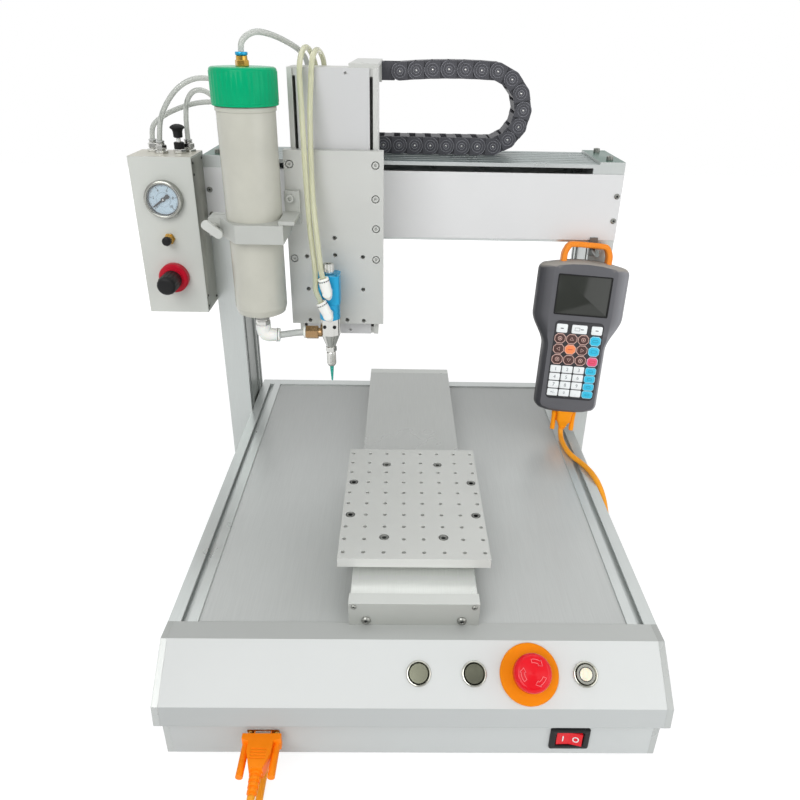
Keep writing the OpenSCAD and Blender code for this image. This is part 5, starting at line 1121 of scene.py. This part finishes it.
# Pendant: shell, screen, keys, handle and boot
SCREEN_Z = 192.6


def ease(t):
    return t * t * (3 - 2 * t)


def pendant_outline():
    side = [(0, 30.5), (12, 30.7), (24, 31.8)] + arc(30.2, 45.5, 12, -60, 0, 6)
    side += [(42.2 + 17.6 * ease(i / 12), 122 + 44 * i / 12) for i in range(13)]
    side += arc(49.8, 222, 10, 0, 76, 6) + [(38, 234.6), (20, 237.5), (0, 238.5)]
    return side + [(-px, py) for px, py in side[-2:0:-1]]


def shell_rings(outer):
    """Outlines from the shell's back to its face, with the depth of each."""
    back = ((9.5, -31), (5.2, -30.2), (2.4, -27.6), (0.7, -24), (0, -20))
    rings = [(inset(outer, gone), z) for gone, z in back]
    inner = [(max(-40, min(40, px)), py) for px, py in inset(outer, 5.2)]
    for share, z in ((0.0, -11), (0.08, -7.6), (0.22, -5.2), (0.42, -3.2), (0.65, -1.6), (0.85, -0.6),
                     (1.0, 0.0)):
        rings.append(([(a[0] + share * (b[0] - a[0]), a[1] + share * (b[1] - a[1]))
                       for a, b in zip(outer, inner)], z))
    return rings


def make_shell():
    outer = pendant_outline()
    bm = bmesh.new()

    def wall(rings):
        """Faces through rings of points, and the rings' vertices."""
        rows = [[bm.verts.new(PENDANT_FACE @ (Vector((x, y, z)) * MM)) for x, y in outline]
                for outline, z in rings]
        for low, high in zip(rows, rows[1:]):
            for k in range(len(low)):
                j = (k + 1) % len(low)
                bm.faces.new((low[k], low[j], high[j], high[k]))
        return rows

    rows = wall(shell_rings(outer))
    bm.faces.new(rows[0][::-1])
    screen = shifted(rounded(71.6, 52.8, 1.6, 3), 0, SCREEN_Z)
    recess = wall([(screen, 0), (screen, -1.7)])
    bm.faces.new(recess[1])
    edges = [bm.edges.get((ring[k], ring[(k + 1) % len(ring)])) for ring in (rows[-1], recess[0])
             for k in range(len(ring))]
    bmesh.ops.triangle_fill(bm, use_beauty=True, use_dissolve=False, edges=edges)
    mesh = bpy.data.meshes.new("shell")
    bm.to_mesh(mesh)
    bm.free()
    shell = Parts().add(mesh, "pendant")
    shell.add(border(PENDANT_FACE, inset(outer, -0.25), 0.6, -19.2, -18.6), "dark_panel")
    shell.piece("pendant_case", "pendant", "pendant_plastic", "pendant_shell")


def make_screen():
    face = PENDANT_FACE @ move(0, SCREEN_Z)
    glass = Parts().add(pad(face, rounded(70.4, 51.6, 1.2), -1.7, -0.9, 0.2), "screen")
    glass.add(border(face, rounded(72.4, 53.6, 1.9), 1.5, -1.2, 0.25), "black_plastic")
    glass.piece("pendant_display", "pendant", "screen", "pendant_screen")
    field = shifted(rounded(65.5, 107, 6, 6), 1.3, 104.8)
    line = Parts().add(border(PENDANT_FACE, field, 0.8, -0.2, 0.22), "dark_panel")
    line.add(pad(PENDANT_FACE, inset(field, 0.8), -0.2, 0.06, 0.03), "dark_panel")
    line.piece("keypad_field", "pendant", "pendant_plastic")


def make_handle():
    right = [(19.5, 257.4), (24.6, 255.6), (27.6, 251), (29.6, 245), (29.7, 238), (29.7, 230)]
    route = [(-px, pz) for px, pz in right[::-1]] + [(0, 257.6)] + right
    points = catmull([(px, pz, 0) for px, pz in route], 4)
    rings = []
    for i, point in enumerate(points):
        t = (points[min(i + 1, len(points) - 1)] - points[max(i - 1, 0)]).normalized()
        across = Vector((t.y, -t.x, 0))
        rings.append([PENDANT_FACE @ ((point + across * u + Vector((0, 0, w - 13))) * MM)
                      for u, w in rounded(7.2, 14, 2.6)])
    Parts().add(loft(rings), "handle").piece("handle_loop", "pendant", "orange_plastic", "pendant_handle")


def make_boot():
    down = PENDANT @ move(1.2, 14)
    boot = Parts().add(stack(down, [(rounded(w, h, r), z) for w, h, r, z in (
        (9.2, 8.6, 2.2, 8), (11, 9.8, 2.4, 9.5), (12.4, 11, 2.4, 12.5), (17.5, 14.4, 3, 15.5),
        (19.4, 16, 3, 18), (20, 17, 3, 27), (22, 18.4, 3, 30), (23, 19, 3, 36))]), "boot")
    for dx in (-13.2, 13.2):
        boot.turn(down @ move(dx, 0), [
            (2.6, 3.4), (3.2, 4), (3.2, 9, 1), (3.2, 10), (3.2, 24), (3.6, 25), (3.6, 36)],
            "boot", ribs=12, rib_depth=0.3)
    for k in range(3):
        r, z = 4.6 + 0.2 * k, 1.1 * k
        boot.turn(down, [(4.3, 5.6 + z), (r, 5.9 + z), (r, 6.3 + z), (4.3, 6.6 + z)], "boot", 32)
    boot.piece("cord_boot", "pendant", "orange_plastic", "pendant_handle")


KEY_TOP = 1.2
COLUMNS = (-22.8, -7.0, 8.8)
SIDE_X = 25
TOP_KEYS_Z = 148
LABELS = "1 2 3 4 5 6 7 8 9 +/- 0 .".split()


def octagon(w, h, cut):
    x, y = w / 2, h / 2
    half = [(x, cut - y), (x, y - cut), (x - cut, y), (cut - x, y)]
    return half + [(-px, -py) for px, py in half]


def on_key(x, z):
    return PENDANT_FACE @ move(x, z, KEY_TOP)


def key(shape, bevel=0.3):
    return pad(PENDANT_FACE, shape, 0, KEY_TOP, bevel)


def side_key(keys, marks, shape, z, line, symbol, colour="key_cyan", ink="deep_cyan"):
    """A key of the right column, with a line along its edge and a ring as its symbol."""
    shape = shifted(shape, SIDE_X, z)
    keys.add(key(shape), colour)
    marks.add(border(PENDANT_FACE, inset(shape, 0.25), line, 0.9, 1.26), "pale_ink")
    marks.add(border(on_key(SIDE_X, z), symbol, 0.7, -0.1, 0.08), ink)


def jog_mark(marks, i, j, spot):
    """The symbol of a jog key: a bar in the middle, arrowheads across and turn marks at the corners."""
    if i == j == 1:
        marks.add(block(spot, rounded(6.4, 1.0, 0.4), -0.1, 0.07), "red_ink")
        return
    spot = spot @ turn(math.degrees(math.atan2(1 - j, i - 1)), "Z")
    if i == 1 or j == 1:
        marks.add(border(spot, [(2.8, 0), (-1.6, 2.7), (-1.6, -2.7)], 0.75, -0.1, 0.08), "tan_ink")
    else:
        marks.add(border(spot, arc(0, 0, 2.9, 0, 345, 15), 0.6, -0.1, 0.08), "tan_ink")
        marks.add(block(spot, [(1.5, 0), (-0.9, 1.3), (-0.9, -1.3)], -0.1, 0.08), "tan_ink")


def make_keys():
    """Three wide keys, a jog cluster with its side keys, and a number block."""
    white, brown, others, cyan, marks = (Parts() for _ in range(5))
    for x, wide, dx in ((-21.8, 14.6, 0), (1.6, 20.5, 3.6), (25.0, 14.6, 0)):
        white.add(key(shifted(rounded(wide, 11.6, 1.8), x, TOP_KEYS_Z)), "key_white")
        marks.add(block(on_key(x + dx, TOP_KEYS_Z), rounded(4.2, 1.1, 0.4), -0.1, 0.08), "ink")
        if dx:
            marks.add(border(on_key(x - 3, TOP_KEYS_Z), rounded(7, 4.4, 1), 0.5, -0.1, 0.08), "grey_ink")
    for j, z in enumerate((134.4, 120.2, 106)):
        for i, x in enumerate(COLUMNS):
            shape = shifted(octagon(15, 13.4, 3.8), x, z)
            if i == j == 1:
                others.add(key(shape, 0.25), "key_orange")
            else:
                brown.add(key(shape, 0.25), "key_brown")
            marks.add(border(PENDANT_FACE, inset(shape, 0.2), 0.8, 1.0, 1.28), "tan_ink")
            jog_mark(marks, i, j, on_key(x, z))
        look = (others, "key_pink", "red_ink") if j == 2 else (cyan, "key_cyan", "deep_cyan")
        side_key(look[0], marks, octagon(15, 13, 3.2), z - 0.6, 0.6, rounded(8, 4, 1.6), *look[1:])
    for j, z in enumerate((92.6, 81.7, 70.8, 60)):
        for i, x in enumerate(COLUMNS):
            white.add(key(shifted(rounded(14.3, 9.6, 1.4), x, z)), "key_white")
            marks.add(figures(on_key(x, z), LABELS[3 * j + i], 6.6 if j < 3 else 5.2, 0.16), "grey_ink")
        side_key(cyan, marks, octagon(15, 10.4, 2.2), z - 0.3, 0.5, rounded(6.5, 3.2, 1.2))
    for keys, name in ((white, "white_keys"), (brown, "jog_keys"), (others, "centre_and_pink_keys"),
                       (cyan, "cyan_keys")):
        keys.piece(name, "pendant", "keys", "pendant_keypad")
    marks.piece("key_marks", "pendant", "keys")


def make_pendant():
    make_shell()
    make_screen()
    make_keys()
    make_handle()
    make_boot()


make_camera()
make_pendant_cord()
make_air_tubes()
make_stage()
make_lights()
dress_cad()
make_chain()
make_chain_lines()
make_screws()
make_console()
make_box()
make_head()
make_pendant()
